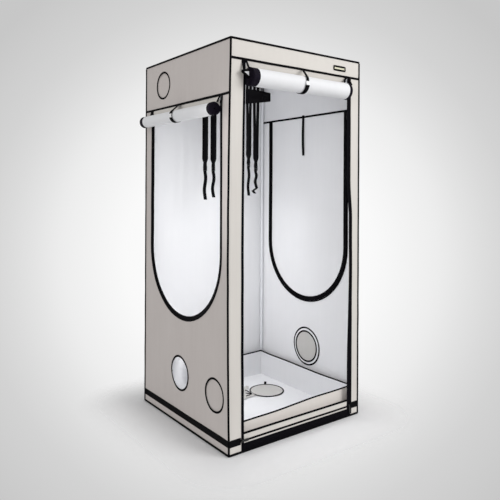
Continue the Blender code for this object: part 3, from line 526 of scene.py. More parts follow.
def clothPanel(name, wall, low, high, holes, finish, replaced):
    # a sheet of cloth with its openings cut out
    bm, area = cutCloth(clothSlab(low, high), holes, "DIFFERENCE")
    made = piece(name, ontoWall(bm, wall), finish, "tent", replaced, "lining")
    size = (high[0] - low[0], high[1] - low[1])


def buildCover():
    x = tent["halfWidth"] - panel["inset"]
    y = tent["halfDepth"] - panel["inset"]
    top = tent["height"] - panel["inset"]
    foot = panel["foot"]
    leftHoles = [windowCut, portCut("upperPort"), portCut("openPort"), portCut("lowerPort")]
    rightHoles = [windowCut, portCut("rightPort")]
    clothPanel("cover_left", "left", (-y, foot), (y, top), leftHoles, "side", ["left_wall"])
    clothPanel("cover_right", "right", (-y, foot), (y, top), rightHoles, "side", ["right_wall"])
    clothPanel("cover_back", "back", (-x, foot), (x, top), [], "cover", ["back_wall"])
    half, seam, sill = openings["doorHalf"], openings["frontSeam"], openings["sill"]
    clothPanel("cover_fascia", "front", (-x, seam), (x, top), [], "cover", ["front_wall"])
    clothPanel("cover_left_border", "front", (-x, foot), (-half, seam), [], "cover", ["front_wall"])
    clothPanel("cover_right_border", "front", (half, foot), (x, seam), [], "cover", ["front_wall"])
    clothPanel("cover_sill", "front", (-half, foot), (half, sill), [], "cover", ["front_wall"])
    clothPanel("cover_roof", "roof", (-x, -y), (x, y), [], "cover", ["roof"])
    clothPanel("cover_floor", "floor", (-x, -y), (x, y), [], "cover", ["floor_panel"])


buildCover()
print("cover done")


# the closed window flap on the right

flap = {"gap": 0.0015, "over": 0.02}


def buildFlap():
    half = openings["windowHalf"] - flap["gap"]
    top = openings["sideSeam"] - flap["gap"]
    foot = openings["windowFoot"] - half
    slab = clothSlab((-half, foot), (half, top), flap["over"])
    bm, area = cutCloth(slab, [arch(half, top, openings["windowFoot"])], "INTERSECT")
    bm = ontoWall(bm, "right")
    replaced = ["right_window_flap"]
    made = piece("window_flap", bm, "side", "window_flap", replaced, "lining")


buildFlap()


# piping along the twelve edges

piping = {"radius": 0.0050, "sides": 10, "wobble": 0.0006, "step": 0.03, "inset": 0.0002}


def roundSection(radius, sides, flat=1.0):
    return ellipse(radius, flat * radius, count=sides)


def buildPiping():
    x = tent["halfWidth"] - piping["inset"]
    y = tent["halfDepth"] - piping["inset"]
    radius = piping["radius"]
    parts = []
    for height in (radius, tent["height"] - piping["inset"]):
        ring = sweep(roundedRing(x, y, 0.004), roundSection(radius, piping["sides"]), True)
        parts.append(lifted(ring, height))
    count = round(tent["height"] / piping["step"])
    for sx in (-1, 1):
        for sy in (-1, 1):
            path = [(radius + (tent["height"] - 2 * radius) * i / count, 0) for i in range(count + 1)]
            post = sweep(path, roundSection(radius * 0.93, piping["sides"]))
            for vert in post.verts:
                up, across, out = vert.co
                sway = piping["wobble"] * drift(up * 9, sx * 3, sy * 5)
                aside = bowed(up, 1) if sx < 0 and sy < 0 else 0
                vert.co = (sx * x + across + sway - aside, sy * y + out - sway, up)
            parts.append(post)
    piece("cover_piping", merged(*parts), "binding", "tent", ["edge_piping"])


def roundedRing(x, y, radius, count=4):
    points = []
    for sx, sy, start in ((1, 1, 0), (-1, 1, 90), (-1, -1, 180), (1, -1, 270)):
        for i in range(count + 1):
            turn = math.radians(start + 90 * i / count)
            across = sx * (x - radius) + radius * math.cos(turn)
            points.append((across, sy * (y - radius) + radius * math.sin(turn)))
    return denseRing(points, piping["step"])


buildPiping()
print("piping done")


# zips: woven tape with its coil, narrow where only one half is left

zips = {
    "tape": 0.0013,
    "coil": 0.0022,
    "door": {
        -1: ((0.1, -0.3270, 0.0140), (0.55, -0.3265, 0.0125), (1.7, -0.3260, 0.0105)),
        1: ((0.25, 0.3380, 0.033), (0.75, 0.3440, 0.022), (1.0, 0.3420, 0.023), (1.2, 0.3265, 0.027)),
    },
    "windowWide": 0.024,
    "footWide": 0.031,
    "footAt": 0.0255,
    "lower": 0.008,
    "bent": 0.0050,
    "out": 0.0004,
    "wobble": 0.0012,
    "step": 0.02,
}


def tapeSection(wide, thick, coil, coilAt):
    # right edge to left edge along the back, then over the coil and back
    half = wide / 2
    return [
        (-half, 0),
        (half, 0),
        (half, thick * 0.7),
        (coilAt + coil, thick),
        (coilAt + coil * 0.6, thick + coil * 0.55),
        (coilAt, thick + coil * 0.75),
        (coilAt - coil * 0.6, thick + coil * 0.55),
        (coilAt - coil, thick),
        (-half, thick * 0.7),
    ]


def wobbled(path, amount, seed):
    wandering = []
    for a, b in path:
        aside = amount * drift(a * 8, b * 8, seed)
        upward = amount * drift(a * 8, b * 8, seed + 9)
        wandering.append((a + aside, b + upward))
    return wandering


def buildZips():
    # left window: the half that stays on the wall when the flap is rolled up
    half = openings["windowHalf"]
    outline = arch(half - 0.001, openings["sideSeam"], openings["windowFoot"])
    path = wobbled(dense(outline, zips["step"]), zips["wobble"], 3)
    section = tapeSection(zips["windowWide"], zips["tape"], zips["coil"], -0.008)
    bm = lifted(sweep(path, section), zips["out"])
    for vert in bm.verts:
        vert.co.z -= zips["bent"] * eased(insideWindow(vert.co) / 0.014)
    piece("left_window_tape", ontoWall(bm, "left"), "binding", "tent", ["left_window_zip"])
    # right window, closed: half of the zip on the wall and half on the flap, on both sides of the cloth
    halves = {
        "wall": (half - 0.0005, 0.007, 0.0, "tent", ["right_window_zip"]),
        "flap": (half - 0.0165, 0.024, -0.010, "window_flap", []),
    }
    for name, (reach, wide, coilAt, body, replaced) in halves.items():
        outline = arch(reach, openings["sideSeam"] - 0.002, openings["windowFoot"] - zips["lower"])
        path = wobbled(dense(outline, zips["step"]), zips["wobble"] * 0.3, 3)
        sides = []
        for out in (-tent["cloth"] - 0.0010, 0.0010):
            bm = sweep(path, tapeSection(wide, zips["tape"], zips["coil"], coilAt))
            sides.append(laid(bm, "right", out))
        piece(f"right_window_{name}_tape", merged(*sides), "binding", body, replaced)


def insideWindow(place):
    # how far a point of the wall lies inside the window's outline
    u, v = place[0], place[1] - openings["windowFoot"]
    return openings["windowHalf"] - (abs(u) if v > 0 else math.hypot(u, v))


def tapeBand(bands, height):
    # the tape's middle and width at a height, between the heights where they are given
    for (low, *first), (high, *last) in zip(bands, bands[1:]):
        if height <= high:
            share = eased((height - low) / (high - low))
            return [between(a, b, share) for a, b in zip(first, last)]
    return bands[-1][1:]


def buildDoorZip():
    # the borders' halves of the door zip, wider towards the base, and the one across the foot
    half = openings["doorHalf"]
    parts = []
    for side, bands in zips["door"].items():
        heights = [between(openings["frontSeam"], 0.012, i / 70) for i in range(71)]
        bm = sweep([(0, v) for v in heights], tapeSection(1.0, zips["tape"], zips["coil"], 0.0))
        for vert in bm.verts:
            across, v = vert.co.xy
            middle, wide = tapeBand(bands, v)
            vert.co.x = middle + across * wide + 0.0012 * drift(v * 6, side * 4, 2)
        parts.append(bm)
    foot = [(-half - 0.004, zips["footAt"]), (half + 0.014, zips["footAt"])]
    section = tapeSection(zips["footWide"], zips["tape"], zips["coil"], 0.004)
    parts.append(sweep(dense(foot, zips["step"]), section))
    bm = laid(merged(*parts), "front", zips["out"])
    piece("door_zip_tape", bm, "zipTape", "tent", ["door_zip"])


buildZips()
buildDoorZip()
print("zips done")


# bindings over the seams, and the webbing round the base

bindings = {"wide": 0.0112, "thick": 0.0022, "out": 0.0003, "wobble": 0.0008, "sillFoot": 0.053}
band = {"end": 0.338, "wide": 0.031, "edge": 0.0005, "middle": 0.0535, "thick": 0.0016, "corner": 0.0042}


def flatSection(wide, thick):
    half = wide / 2
    return [(-half, 0), (half, 0), (half - thick * 0.3, thick), (-half + thick * 0.3, thick)]


def onWallLine(wall, points, wide, seed, inside=False):
    # a binding along a line of a wall, on its outside or its inside
    path = wobbled(dense(points, 0.02), bindings["wobble"], seed)
    out = bindings["out"]
    bm = sweep(path, flatSection(wide, bindings["thick"]))
    return laid(bm, wall, -tent["cloth"] - out if inside else out)


def buildBindings():
    x = tent["halfWidth"] - 0.004
    seam = openings["sideSeam"]
    top = openings["frontSeam"]
    sill = openings["sill"]
    wide = bindings["wide"]
    half = openings["doorHalf"] - 0.008
    foot = bindings["sillFoot"]
    parts = [
        onWallLine("left", [(-x, seam), (x, seam)], wide, 2),
        onWallLine("right", [(-x, seam), (x, seam)], wide, 3),
        onWallLine("right", [(-x, seam), (x, seam)], wide, 4, inside=True),
        onWallLine("left", [(-x, seam), (x, seam)], wide, 5, inside=True),
        onWallLine("front", [(-x, top), (x, top)], wide, 6),
        onWallLine("front", [(-half, sill), (half, sill)], wide * 0.86, 7),
        onWallLine("front", [(-half, foot), (half, foot)], wide * 0.78, 8),
    ]
    piece("seam_bindings", merged(*parts), "binding", "tent")
    end, x, y = band["end"], tent["halfWidth"], tent["halfDepth"]
    path = [(-end, -y), (-x, -y), (-x, y), (x, y), (x, -y), (end, -y)]
    half, thick = band["wide"] / 2, band["thick"]
    edge = half - band["edge"]
    section = [(0, -half), (0, half), (-thick, edge), (-thick, -edge)]
    bm = lifted(sweep(cornered(path, band["corner"], thick), section), band["middle"])
    piece("base_webbing", bm, "webbing", "tent", ["base_band"])


def cornered(path, radius, out):
    # a flat path whose corners are rounded round the piping
    points = [path[0]]
    for before, here, after in zip(path, path[1:], path[2:]):
        corner = Vector(here)
        into = (corner - Vector(before)).normalized()
        onward = (Vector(after) - corner).normalized()
        reach = radius + 0.004
        for i in range(7):
            share = i / 6
            a = corner - into * reach * (1 - share)
            b = corner + onward * reach * share
            bulge = (into - onward).normalized() * (radius + out) * math.sin(math.pi * share) * 0.9
            point = a * (1 - share) + b * share + bulge
            points.append(tuple(point))
    points.append(path[-1])
    return points


buildBindings()
print("bindings done")


# rolled door and rolled window, each one long sheet wound up from its seam

rolls = {
    "door": {
        "wall": "front",
        "seam": 1.711,
        "axis": (0.020, 1.6385),
        "radius": 0.0413,
        "length": 1.63,
        "ends": (-0.316, 0.290),
        "seamEnds": (-0.316, 0.316),
        "tape": (0.033, 0.018),
        "rests": "cover_fascia",
        "node": "front_door_roll",
    },
    "window": {
        "wall": "left",
        "seam": 1.559,
        "axis": (0.0345, 1.500),
        "radius": 0.0292,
        "length": 1.02,
        "ends": (-0.328, 0.350),
        "seamEnds": (-0.312, 0.312),
        "tape": (0.023, 0.030),
        "rests": "cover_left",
        "node": "left_window_roll",
    },
}
rollCloth = {
    "thick": 0.0010,
    "tapeThick": 0.0022,
    "core": 0.0035,
    "steps": 26,
    "cell": 0.018,
    "coil": 0.0032,
    "spiral": 0.002,  # how far the turns are out of line at the roll's right or back end
    "seamCloth": 0.06,  # the length from the roll up to its seam
}


def woundPath(roll):
    # (out, up) points: from the seam down behind the roll, then round and round to its core
    axis = Vector(roll["axis"])
    radius = roll["radius"]
    seam = Vector((-0.0008, roll["seam"]))
    toSeam = seam - axis
    start = math.atan2(toSeam.y, toSeam.x) + math.acos(min(radius / toSeam.length, 1.0))
    pitch = math.pi * (radius ** 2 - rollCloth["core"] ** 2) / roll["length"]
    first = axis + radius * Vector((math.cos(start), math.sin(start)))
    points = [tuple(seam.lerp(first, share)) for share in (0, 0.25, 0.5, 0.75)]
    turns = (radius - rollCloth["core"]) / pitch
    for i in range(round(turns * rollCloth["steps"]) + 1):
        share = i / rollCloth["steps"]
        reach = radius - pitch * max(share - 0.1, 0.0)
        turn = start + math.tau * share
        points.append((axis.x + reach * math.cos(turn), axis.y + reach * math.sin(turn)))
    return points


def onRoll(roll, bm):
    # (out, up, along) of a wound piece put on its wall: narrower at the seam, wavy where it is slack
    low, high = roll["ends"]
    axis = Vector(roll["axis"])
    for vert in bm.verts:
        out, up, along = vert.co
        climb = min(max((up - axis.y) / (roll["seam"] - axis.y), 0.0), 1.0)
        atSeam = eased((climb - 0.45) / 0.55) if out < axis.x else 0.0
        seamLow, seamHigh = roll["seamEnds"]
        share = (along - low) / (high - low)
        along = between(along, between(seamLow, seamHigh, share), atSeam)
        radial = Vector((out, up)) - axis
        turn = math.atan2(radial.y, radial.x)
        wave = drift(along * 7, math.cos(turn) * 1.2, math.sin(turn) * 1.2 + axis.y)
        radial *= 1 + 0.020 * (1 - atSeam) * wave
        if share > 0.5:
            along += rollCloth["spiral"] * math.sin(9 * radial.length / roll["radius"])
        vert.co = (along, axis.y + radial.y, axis.x + radial.x)
        vert.co = walls[roll["wall"]]["at"](*vert.co)
    return bm


def buildRoll(name, roll):
    path = woundPath(roll)
    low, high = roll["ends"]
    half = rollCloth["thick"] / 2
    stops = [low + 0.004, low + roll["tape"][0]]
    count = round((high - low) / rollCloth["cell"])
    stops += [between(stops[1], high - roll["tape"][1], i / count) for i in range(1, count + 1)]
    stops += [high - 0.004]
    section = [(half, stop) for stop in stops] + [(-half, stop) for stop in reversed(stops)]
    bm = sweep(path, section)
    axis = Vector(roll["axis"])
    for face in bm.faces:
        middle = face.calc_center_median()
        toward = Vector((middle.x, middle.y)) - axis
        face.material_index = 0 if face.normal.x * toward.x + face.normal.y * toward.y < 0 else 1
    tapes = []
    for end, wide, side in ((low, roll["tape"][0], 1), (high, roll["tape"][1], -1)):
        thick = rollCloth["tapeThick"] / 2
        coil = rollCloth["coil"]
        section = [
            (thick * 0.8, end + side * wide),
            (thick, end + side * coil * 1.6),
            (thick * 1.25, end + side * coil),
            (thick * 1.1, end),
        ]
        section += [(-a, b) for a, b in reversed(section)]
        ends = onRoll(roll, sweep(path[3:], section))
        tapeName = f"rolled_{name}_tape_{len(tapes)}"
        tapes.append(piece(tapeName, ends, "rolledTapeHighlighted", "tent"))
    bm = onRoll(roll, bm)
    made = piece("rolled_" + name, bm, "lining", "tent", [roll["node"]], "cover")


for rollName, roll in rolls.items():
    buildRoll(rollName, roll)
print("rolls done")


# a strap round each roll: sewn over the seam, down the front through its buckle and up inside

rollStrap = {
    "thick": 0.0012,
    "wide": {"door": 0.0240, "window": 0.0285},
    "narrow": {"door": 0.0160, "window": 0.0270},
    "gap": 0.0009,
    "tab": 0.012,
    "steps": 40,
    "solidRadius": {"door": 0.0422, "window": 0.0300},
    "seam": {"door": (1.715, 0.010), "window": (1.563, 0.034)},
    "buckle": {"door": -0.012, "window": 0.010},
    "node": {"door": "front_roll_strap", "window": "left_roll_strap"},
}


def buildRollStrap(name):
    roll = rolls[name]
    axis = Vector(roll["axis"])
    thick = rollStrap["thick"]
    reach = rollStrap["solidRadius"][name] + rollStrap["gap"] + thick / 2
    seam, seamAt = rollStrap["seam"][name]
    outer = Vector((0.0003 + thick / 2 + 0.0016, seam))
    inner = Vector((-0.0015 - 0.0024 - thick / 2, seam))
    toOuter = outer - axis
    toInner = inner - axis
    first = math.atan2(toOuter.y, toOuter.x) - math.acos(reach / toOuter.length)
    last = math.atan2(toInner.y, toInner.x) + math.acos(reach / toInner.length) - math.tau
    path = [(outer.x, outer.y + 0.004), tuple(outer)]
    for i in range(rollStrap["steps"] + 1):
        turn = between(first, last, i / rollStrap["steps"])
        path.append((axis.x + reach * math.cos(turn), axis.y + reach * math.sin(turn)))
    path += [tuple(inner), (inner.x, inner.y + rollStrap["tab"] * 0.6)]
    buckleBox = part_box(rollStrap["node"][name].replace("strap", "buckle"))
    buckleAt = (buckleBox[0][2] + buckleBox[1][2]) / 2
    bm = sweep(path, softStrap(1.0, thick, 0.06))
    for vert in bm.verts:
        out, up, w = vert.co
        share = eased((buckleAt + 0.004 - up) / 0.010) if out > axis.x - reach * 0.5 else 1.0
        wide = between(rollStrap["narrow"][name], rollStrap["wide"][name], share)
        lean = eased((seam - up) / (seam - axis.y))
        u = between(seamAt, rollStrap["buckle"][name], lean) + w * wide
        vert.co = walls[roll["wall"]]["at"](u, up, out)
    replaced = [rollStrap["node"][name]]
    made = piece(f"{name}_roll_strap", bm, "webbing", "tent", replaced)
    size = (rollStrap["wide"][name], pathLength(path))


def softStrap(wide, thick, edge):
    # a webbing's section with thinner, rounded selvedges: right of the path first
    half, t = wide / 2, thick / 2
    rim = edge * wide
    upper = [(t, half - rim), (0.85 * t, half - rim * 0.5), (0.35 * t, half)]
    side = [(a, -b) for a, b in reversed(upper)] + [(t, 0)] + upper
    return side + [(-a, b) for a, b in reversed(side)]


def pathLength(path):
    return sum(math.hypot(c - a, d - b) for (a, b), (c, d) in zip(path, path[1:]))


for rollName in rolls:
    buildRollStrap(rollName)
print("roll straps done")


# the zips' upper ends: a loop of tape at each top corner, its two legs sewn into the seam

zipTops = {
    "wide": 0.0110,
    "door": [
        ((-0.336, 1.714), (-0.337, 1.690), (-0.338, 1.650)),
        ((-0.321, 1.714), (-0.314, 1.698), (-0.309, 1.676)),
        ((0.308, 1.714), (0.294, 1.699), (0.284, 1.683)),
        ((0.320, 1.714), (0.330, 1.700), (0.336, 1.676)),
    ],
    "window": [
        ((-0.336, 1.562), (-0.339, 1.546), (-0.337, 1.522)),
        ((-0.324, 1.562), (-0.314, 1.548), (-0.307, 1.532)),
        ((0.336, 1.562), (0.340, 1.548), (0.341, 1.530)),
        ((0.326, 1.562), (0.319, 1.550), (0.314, 1.538)),
    ],
}


def buildZipTops():
    parts = []
    for name in rolls:
        for leg in zipTops[name]:
            strip = sweep(dense(leg, 0.006), flatSection(zipTops["wide"], 0.0018))
            top = leg[0][1]
            for vert in strip.verts:
                vert.co.z += 0.0014 + 0.30 * max(top - vert.co.y - 0.010, 0.0)
            parts.append(ontoWall(strip, rolls[name]["wall"]))
    piece("zip_tops", merged(*parts), "binding", "tent")


buildZipTops()


# the door's lower corner, which sticks out of the roll: its tape folded to a point, and a little lining

corner = {
    "tip": (-0.354, 1.6570),
    "heel": (-0.322, 1.6290),
    "root": (-0.323, 1.6640),
    "out": 0.0300,
    "wide": 0.0105,
    "lean": 0.35,
}


def cornerLeaned(bm):
    for vert in bm.verts:
        vert.co.z -= corner["lean"] * max(corner["root"][0] - vert.co.x, 0)
    return ontoWall(bm, "front")


def buildDoorCorner():
    tip, heel, root = corner["tip"], corner["heel"], corner["root"]
    parts = []
    for first, last in ((root, tip), (tip, heel)):
        middle = (between(first[0], last[0], 0.5), between(first[1], last[1], 0.5) + 0.001)
        path = dense([first, middle, last], 0.006)
        parts.append(sweep(path, flatSection(corner["wide"], 0.0020)))
    bm = cornerLeaned(lifted(merged(*parts), corner["out"]))
    piece("door_corner_tape", bm, "binding", "tent")
    bm = bmesh.new()
    drawOutline(bm, [tip, root, heel], corner["out"] - 0.0012, corner["out"] - 0.0002)
    bmesh.ops.subdivide_edges(bm, edges=bm.edges, cuts=4, use_grid_fill=True)
    piece("door_corner_cloth", cornerLeaned(bm), "lining", "tent")


buildDoorCorner()


# hanging straps: one length of webbing each, sewn round the buckle's top bar, over the crossbar and down,
# then woven through the buckle to its free tail

webbing = {
    "width": 0.0198,
    "thick": 0.0013,
    "gap": 0.00035,
    "bar": 0.0024,  # the buckle's bars, and the pitch between them
    "pitch": 0.010,
    "tube": 0.008,
    "tab": 0.016,
    "frame": 1.7867,
    "aside": 0.200,
    "part": 0.004,
    "partLength": 0.022,
    "twistLength": 0.095,
    "converge": 0.1797,
    "step": math.radians(11),
}
backStrand = {"side": 1, "loop": 0.518, "spread": 0.0155, "close": 0.0155, "apart": -0.40, "curl": 0}
strands = {
    "back_left": backStrand | {"at": -0.150, "tail": 0.148, "twist": -6, "sway": 0.0075},
    "back_right": backStrand | {"at": -0.097, "tail": 0.136, "twist": -3, "sway": 0.0080},
    "front_left": {
        "at": -0.154,
        "side": -1,
        "loop": 0.513,
        "tail": 0.126,
        "twist": 94,
        "spread": 0.0112,
        "close": 0.0082,
        "apart": -0.300,
        "sway": 0.003,
        "curl": 0,
    },
    "front_right": {
        "at": -0.110,
        "side": -1,
        "loop": 0.527,
        "tail": 0.068,
        "twist": 97,
        "spread": 0.0128,
        "close": 0.0092,
        "apart": -0.380,
        "sway": 0.004,
        "curl": -0.012,
    },
}
curlShares = ((-0.3, 0.6), (1.9, 1.8), (0.7, 2.8))


def beltRun(stops, step):
    # the points of a belt past free points (a, b) and rounds (a, b, radius, way) that it follows
    rounds = [(Vector(stop[:2]), *(stop[2:] or (0.0, 1))) for stop in stops]
    headings = []
    for (first, radius, way), (second, nextRadius, nextWay) in zip(rounds, rounds[1:]):
        span = second - first
        crossing = math.asin((radius * way - nextRadius * nextWay) / span.length)
        headings.append(math.atan2(span.y, span.x) + crossing)
    points = []
    for i, (centre, radius, way) in enumerate(rounds):
        arriving = headings[max(i - 1, 0)]
        leaving = headings[min(i, len(headings) - 1)]
        if radius == 0:
            points.append(tuple(centre))
            continue
        turn = way * ((way * (leaving - arriving)) % math.tau)
        steps = max(math.ceil(abs(turn) / step), 1)
        for j in range(steps + 1):
            angle = arriving + turn * j / steps - way * math.pi / 2
            points.append((centre.x + radius * math.cos(angle), centre.y + radius * math.sin(angle)))
    return points


def strandStops(strand):
    wrap = webbing["bar"] / 2 + webbing["gap"] + webbing["thick"] / 2
    layer = webbing["thick"] + webbing["gap"]
    over = webbing["tube"] + webbing["gap"] + webbing["thick"] / 2
    buckle = -strand["loop"]
    tabTop = buckle + webbing["tab"]
    merge = tabTop + webbing["part"]
    rising = [(layer / 2, merge)]
    for i in range(1, 13):
        up = between(merge, -webbing["converge"], (i / 12) ** 2.4)
        opened = eased((up - strand["apart"]) / (-webbing["converge"] - strand["apart"]))
        out = between(strand["close"], strand["spread"], opened)
        rising.append((between(layer / 2, out, eased((up - merge) / webbing["partLength"])), up))
    rising.append((between(over, strand["spread"], 0.5), -webbing["twistLength"] - webbing["tube"]))
    falling = [(-out, up) for out, up in reversed(rising)]
    middleBar = buckle - webbing["pitch"]
    lastBar = middleBar - webbing["pitch"]
    tailTop = lastBar - webbing["width"] / 2
    stops = [(-layer / 2, tabTop), (0, buckle, wrap, 1), (layer / 2, tabTop)]
    stops += [*rising, (0, 0, over, 1), *falling]
    stops += [(-layer * 1.5, tabTop), (0, buckle, wrap + layer, 1)]
    stops += [(0, middleBar, wrap, -1), (0, lastBar, wrap, 1)]
    for i in range(13):
        share = i / 12
        stops.append((strand["sway"] * math.sin(math.tau * share * 1.15), tailTop - strand["tail"] * share))
    across, up = stops[-1]
    curl = strand["curl"]
    if curl:
        stops += [(across + curl * aside, up - abs(curl) * down) for aside, down in curlShares]
    return stops


def buildStrand(name, strand):
    path = dense(beltRun(strandStops(strand), webbing["step"]), 0.008)
    bm = sweep(path, softStrap(webbing["width"], webbing["thick"], 0.05))
    for vert in bm.verts:
        across, up, w = vert.co
        turned = eased((-webbing["tube"] / 2 - up) / webbing["twistLength"])
        angle = math.radians(strand["twist"]) * turned
        if abs(across) > 0.004:
            wander = drift(up * 14, strand["at"] * 40, 2)
            across += 0.0009 * wander * eased((-up - 0.04) / 0.1)
        vert.co = (
            strand["at"] + w * math.cos(angle) + across * math.sin(angle),
            strand["side"] * webbing["aside"] + w * math.sin(angle) - across * math.cos(angle),
            webbing["frame"] + up,
        )
    body = "front_loops" if strand["side"] < 0 else name + "_loop"
    made = piece("webbing_" + name, bm, "webbing", body, ["hang_strap_" + name])
    pathLength(path)
    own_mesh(made)


for strandName, strand in strands.items():
    buildStrand(strandName, strand)
print("hanging straps done")


# the keeper: a flat belt round both front loops, its two layers meeting in a tapered end

keeper = {
    "feet": (1.561, 1.5835),
    "tops": (1.6300, 1.6270),
    "thick": 0.0022,
    "inner": 0.0112,
    "tip": 0.072,
    "low": -0.1666,
    "high": -0.0949,
    "y": -0.200,
    "corner": 0.007,
}


def buildKeeper():
    low, high, thick = keeper["low"], keeper["high"], keeper["thick"] / 2
    inner = keeper["inner"] + thick
    tip = high + keeper["tip"]
    path = [(low - 0.0004, -inner * 0.55), (low + 0.0025, -inner), (between(low, high, 0.5), -inner * 1.03)]
    for i in range(21):
        share = 1 - (1 - i / 20) ** 2
        aside = between(inner, keeper["thick"] * 0.62, eased(share * 1.15))
        path.append((between(high, tip, share), -aside))
    path += [(tip + 0.0015, 0.0)] + [(a, -b) for a, b in reversed(path)]
    bm = sweep(path, [(-thick, -1), (thick, -1), (thick, 1), (-thick, 1)], True)
    whole = bm.verts[:] + bm.edges[:] + bm.faces[:]
    bmesh.ops.bisect_plane(bm, geom=whole, plane_co=(0, 0, 0), plane_no=(0, 0, 1))
    corner = keeper["corner"]
    for vert in bm.verts:
        share = (vert.co.x - low) / (tip - low)
        foot = between(*keeper["feet"], share)
        top = between(*keeper["tops"], share)
        nearTip = min(max(corner - (tip + 0.0015 - vert.co.x), 0.0), corner)
        half = (top - foot) / 2 - (corner - math.sqrt(corner ** 2 - nearTip ** 2))
        crease = 0.0012 * math.sin(vert.co.x * 160) * (1 - abs(vert.co.z))
        vert.co = (vert.co.x, keeper["y"] + vert.co.y + crease * 0.5, (foot + top) / 2 + vert.co.z * half)
    piece("keeper_belt", bm, "webbing", "front_loops", ["strap_keeper"])


buildKeeper()


# the right window's inner tie, hanging from its seam

tie = {
    "at": 0.020,
    "x": 0.3975,
    "top": 1.573,
    "length": 0.230,
    "wide": 0.0190,
    "thick": 0.0013,
    "sway": 0.004,
}


def buildTie():
    path = []
    for i in range(25):
        share = i / 24
        sway = tie["sway"] * math.sin(math.pi * share) * share
        path.append((tie["x"] - sway, tie["top"] - tie["length"] * share))
    bm = sweep(path, softStrap(tie["wide"], tie["thick"], 0.06))
    for vert in bm.verts:
        a, b, w = vert.co
        low = (tie["top"] - b) / tie["length"]
        aside = tie["at"] + w + 0.0018 * math.sin(low * 5) * low
        vert.co = (a - 0.0008 * low * abs(w) / tie["wide"], aside, b)
    made = piece("window_tie", bm, "webbing", "tent", ["right_window_tie"])


buildTie()
print("keeper and tie done")


# the floor tray: one sheet folded up at the sides, beige outside, white inside, with a bound rim

tray = {
    "half": 0.3757,
    "foot": 0.0020,
    "thick": 0.0016,
    "height": 0.1335,
    "cell": 0.012,
    "rows": 10,
    "rim": 0.0031,
    "droop": 0.005,
    "rise": (-0.012, 0.011, 0.008, 0.013),  # front left, front right, back left, back right
}


def trayLean(x, y):
    # how far a wall bows out (or in) at its rim, and how far the rim droops between the corners
    onX = abs(x) > tray["half"] - 0.001
    onY = abs(y) > tray["half"] - 0.001
    if onX == onY:
        return 0.0, 0.0
    along = y if onX else x
    seed = (3 if onX else 7) + (1 if (x if onX else y) > 0 else 0)
    slack = 1 - (along / tray["half"]) ** 4
    lean = slack * (0.0030 * drift(along * 5, seed, 2) + 0.0030)
    return lean, slack * tray["droop"] * (0.5 + drift(along * 4, seed + 2, 4))


def trayRise(x, y):
    # the rim's height against the mean, from the four corners
    right = min(max((x / tray["half"] + 1) / 2, 0), 1)
    back = min(max((y / tray["half"] + 1) / 2, 0), 1)
    near = between(tray["rise"][0], tray["rise"][1], right)
    return between(near, between(tray["rise"][2], tray["rise"][3], right), back)


def leaned(vert, share, x, y):
    # a point moved in with the wall at (x, y) and up with its corners; share is 1 at the rim
    rise = trayRise(vert.co.x, vert.co.y)
    lean, droop = trayLean(x, y)
    if abs(x) > tray["half"] - 0.001:
        vert.co.x -= math.copysign(lean * share, x)
    elif abs(y) > tray["half"] - 0.001:
        vert.co.y -= math.copysign(lean * share, y)
    vert.co.z += (rise - droop) * share


def buildTray():
    half = tray["half"]
    bm = bmesh.new()
    count = round(2 * half / tray["cell"])
    bmesh.ops.create_grid(bm, x_segments=count, y_segments=count, size=half)
    rim = [edge for edge in bm.edges if edge.is_boundary]
    tall = tray["height"] - tray["foot"]
    for i in range(tray["rows"]):
        grown = bmesh.ops.extrude_edge_only(bm, edges=rim)["geom"]
        verts = [part for part in grown if isinstance(part, bmesh.types.BMVert)]
        rim = [part for part in grown if isinstance(part, bmesh.types.BMEdge) and part.is_boundary]
        bmesh.ops.translate(bm, verts=verts, vec=(0, 0, tall / tray["rows"]))
    lifted(bm, tray["foot"])
    bmesh.ops.recalc_face_normals(bm, faces=bm.faces)
    if min(bm.faces, key=lambda face: face.calc_center_median().z).normal.z > 0:
        bmesh.ops.reverse_faces(bm, faces=bm.faces)
    for vert in bm.verts:
        leaned(vert, eased((vert.co.z - tray["foot"]) / tall), vert.co.x, vert.co.y)
        if vert.co.z < 0.003:
            edge = half - max(abs(vert.co.x), abs(vert.co.y))
            ripple = drift(vert.co.x * 6, vert.co.y * 6, 8)
            vert.co.z += 0.0016 * eased(edge / 0.05) * max(ripple, -0.2)
    bm = solidified("tray", bm, tray["thick"], -1.0)
    middle = Vector((0, 0, 0.3))
    for face in bm.faces:
        inward = (middle - face.calc_center_median()).dot(face.normal) > 0
        face.material_index = 0 if inward else 1
    made = piece("tray_sheet", bm, "lining", "tent", ["floor_tray"], "trayOutLit")
    path = roundedRing(half - 0.0004, half - 0.0004, 0.003)
    bm = sweep(path, roundSection(tray["rim"], 10, 1.2), True)
    for vert in lifted(bm, tray["height"]).verts:
        x, y = (min(max(place, -half), half) for place in vert.co.xy)
        if abs(abs(vert.co.x) - half) < abs(abs(vert.co.y) - half):
            x = math.copysign(half, x)
        else:
            y = math.copysign(half, y)
        leaned(vert, 1, x, y)
    piece("tray_rim", bm, "binding", "tent")


buildTray()
print("tray done")


# round ports: the cover behind each hole, black binding round it outside, and round the cover inside

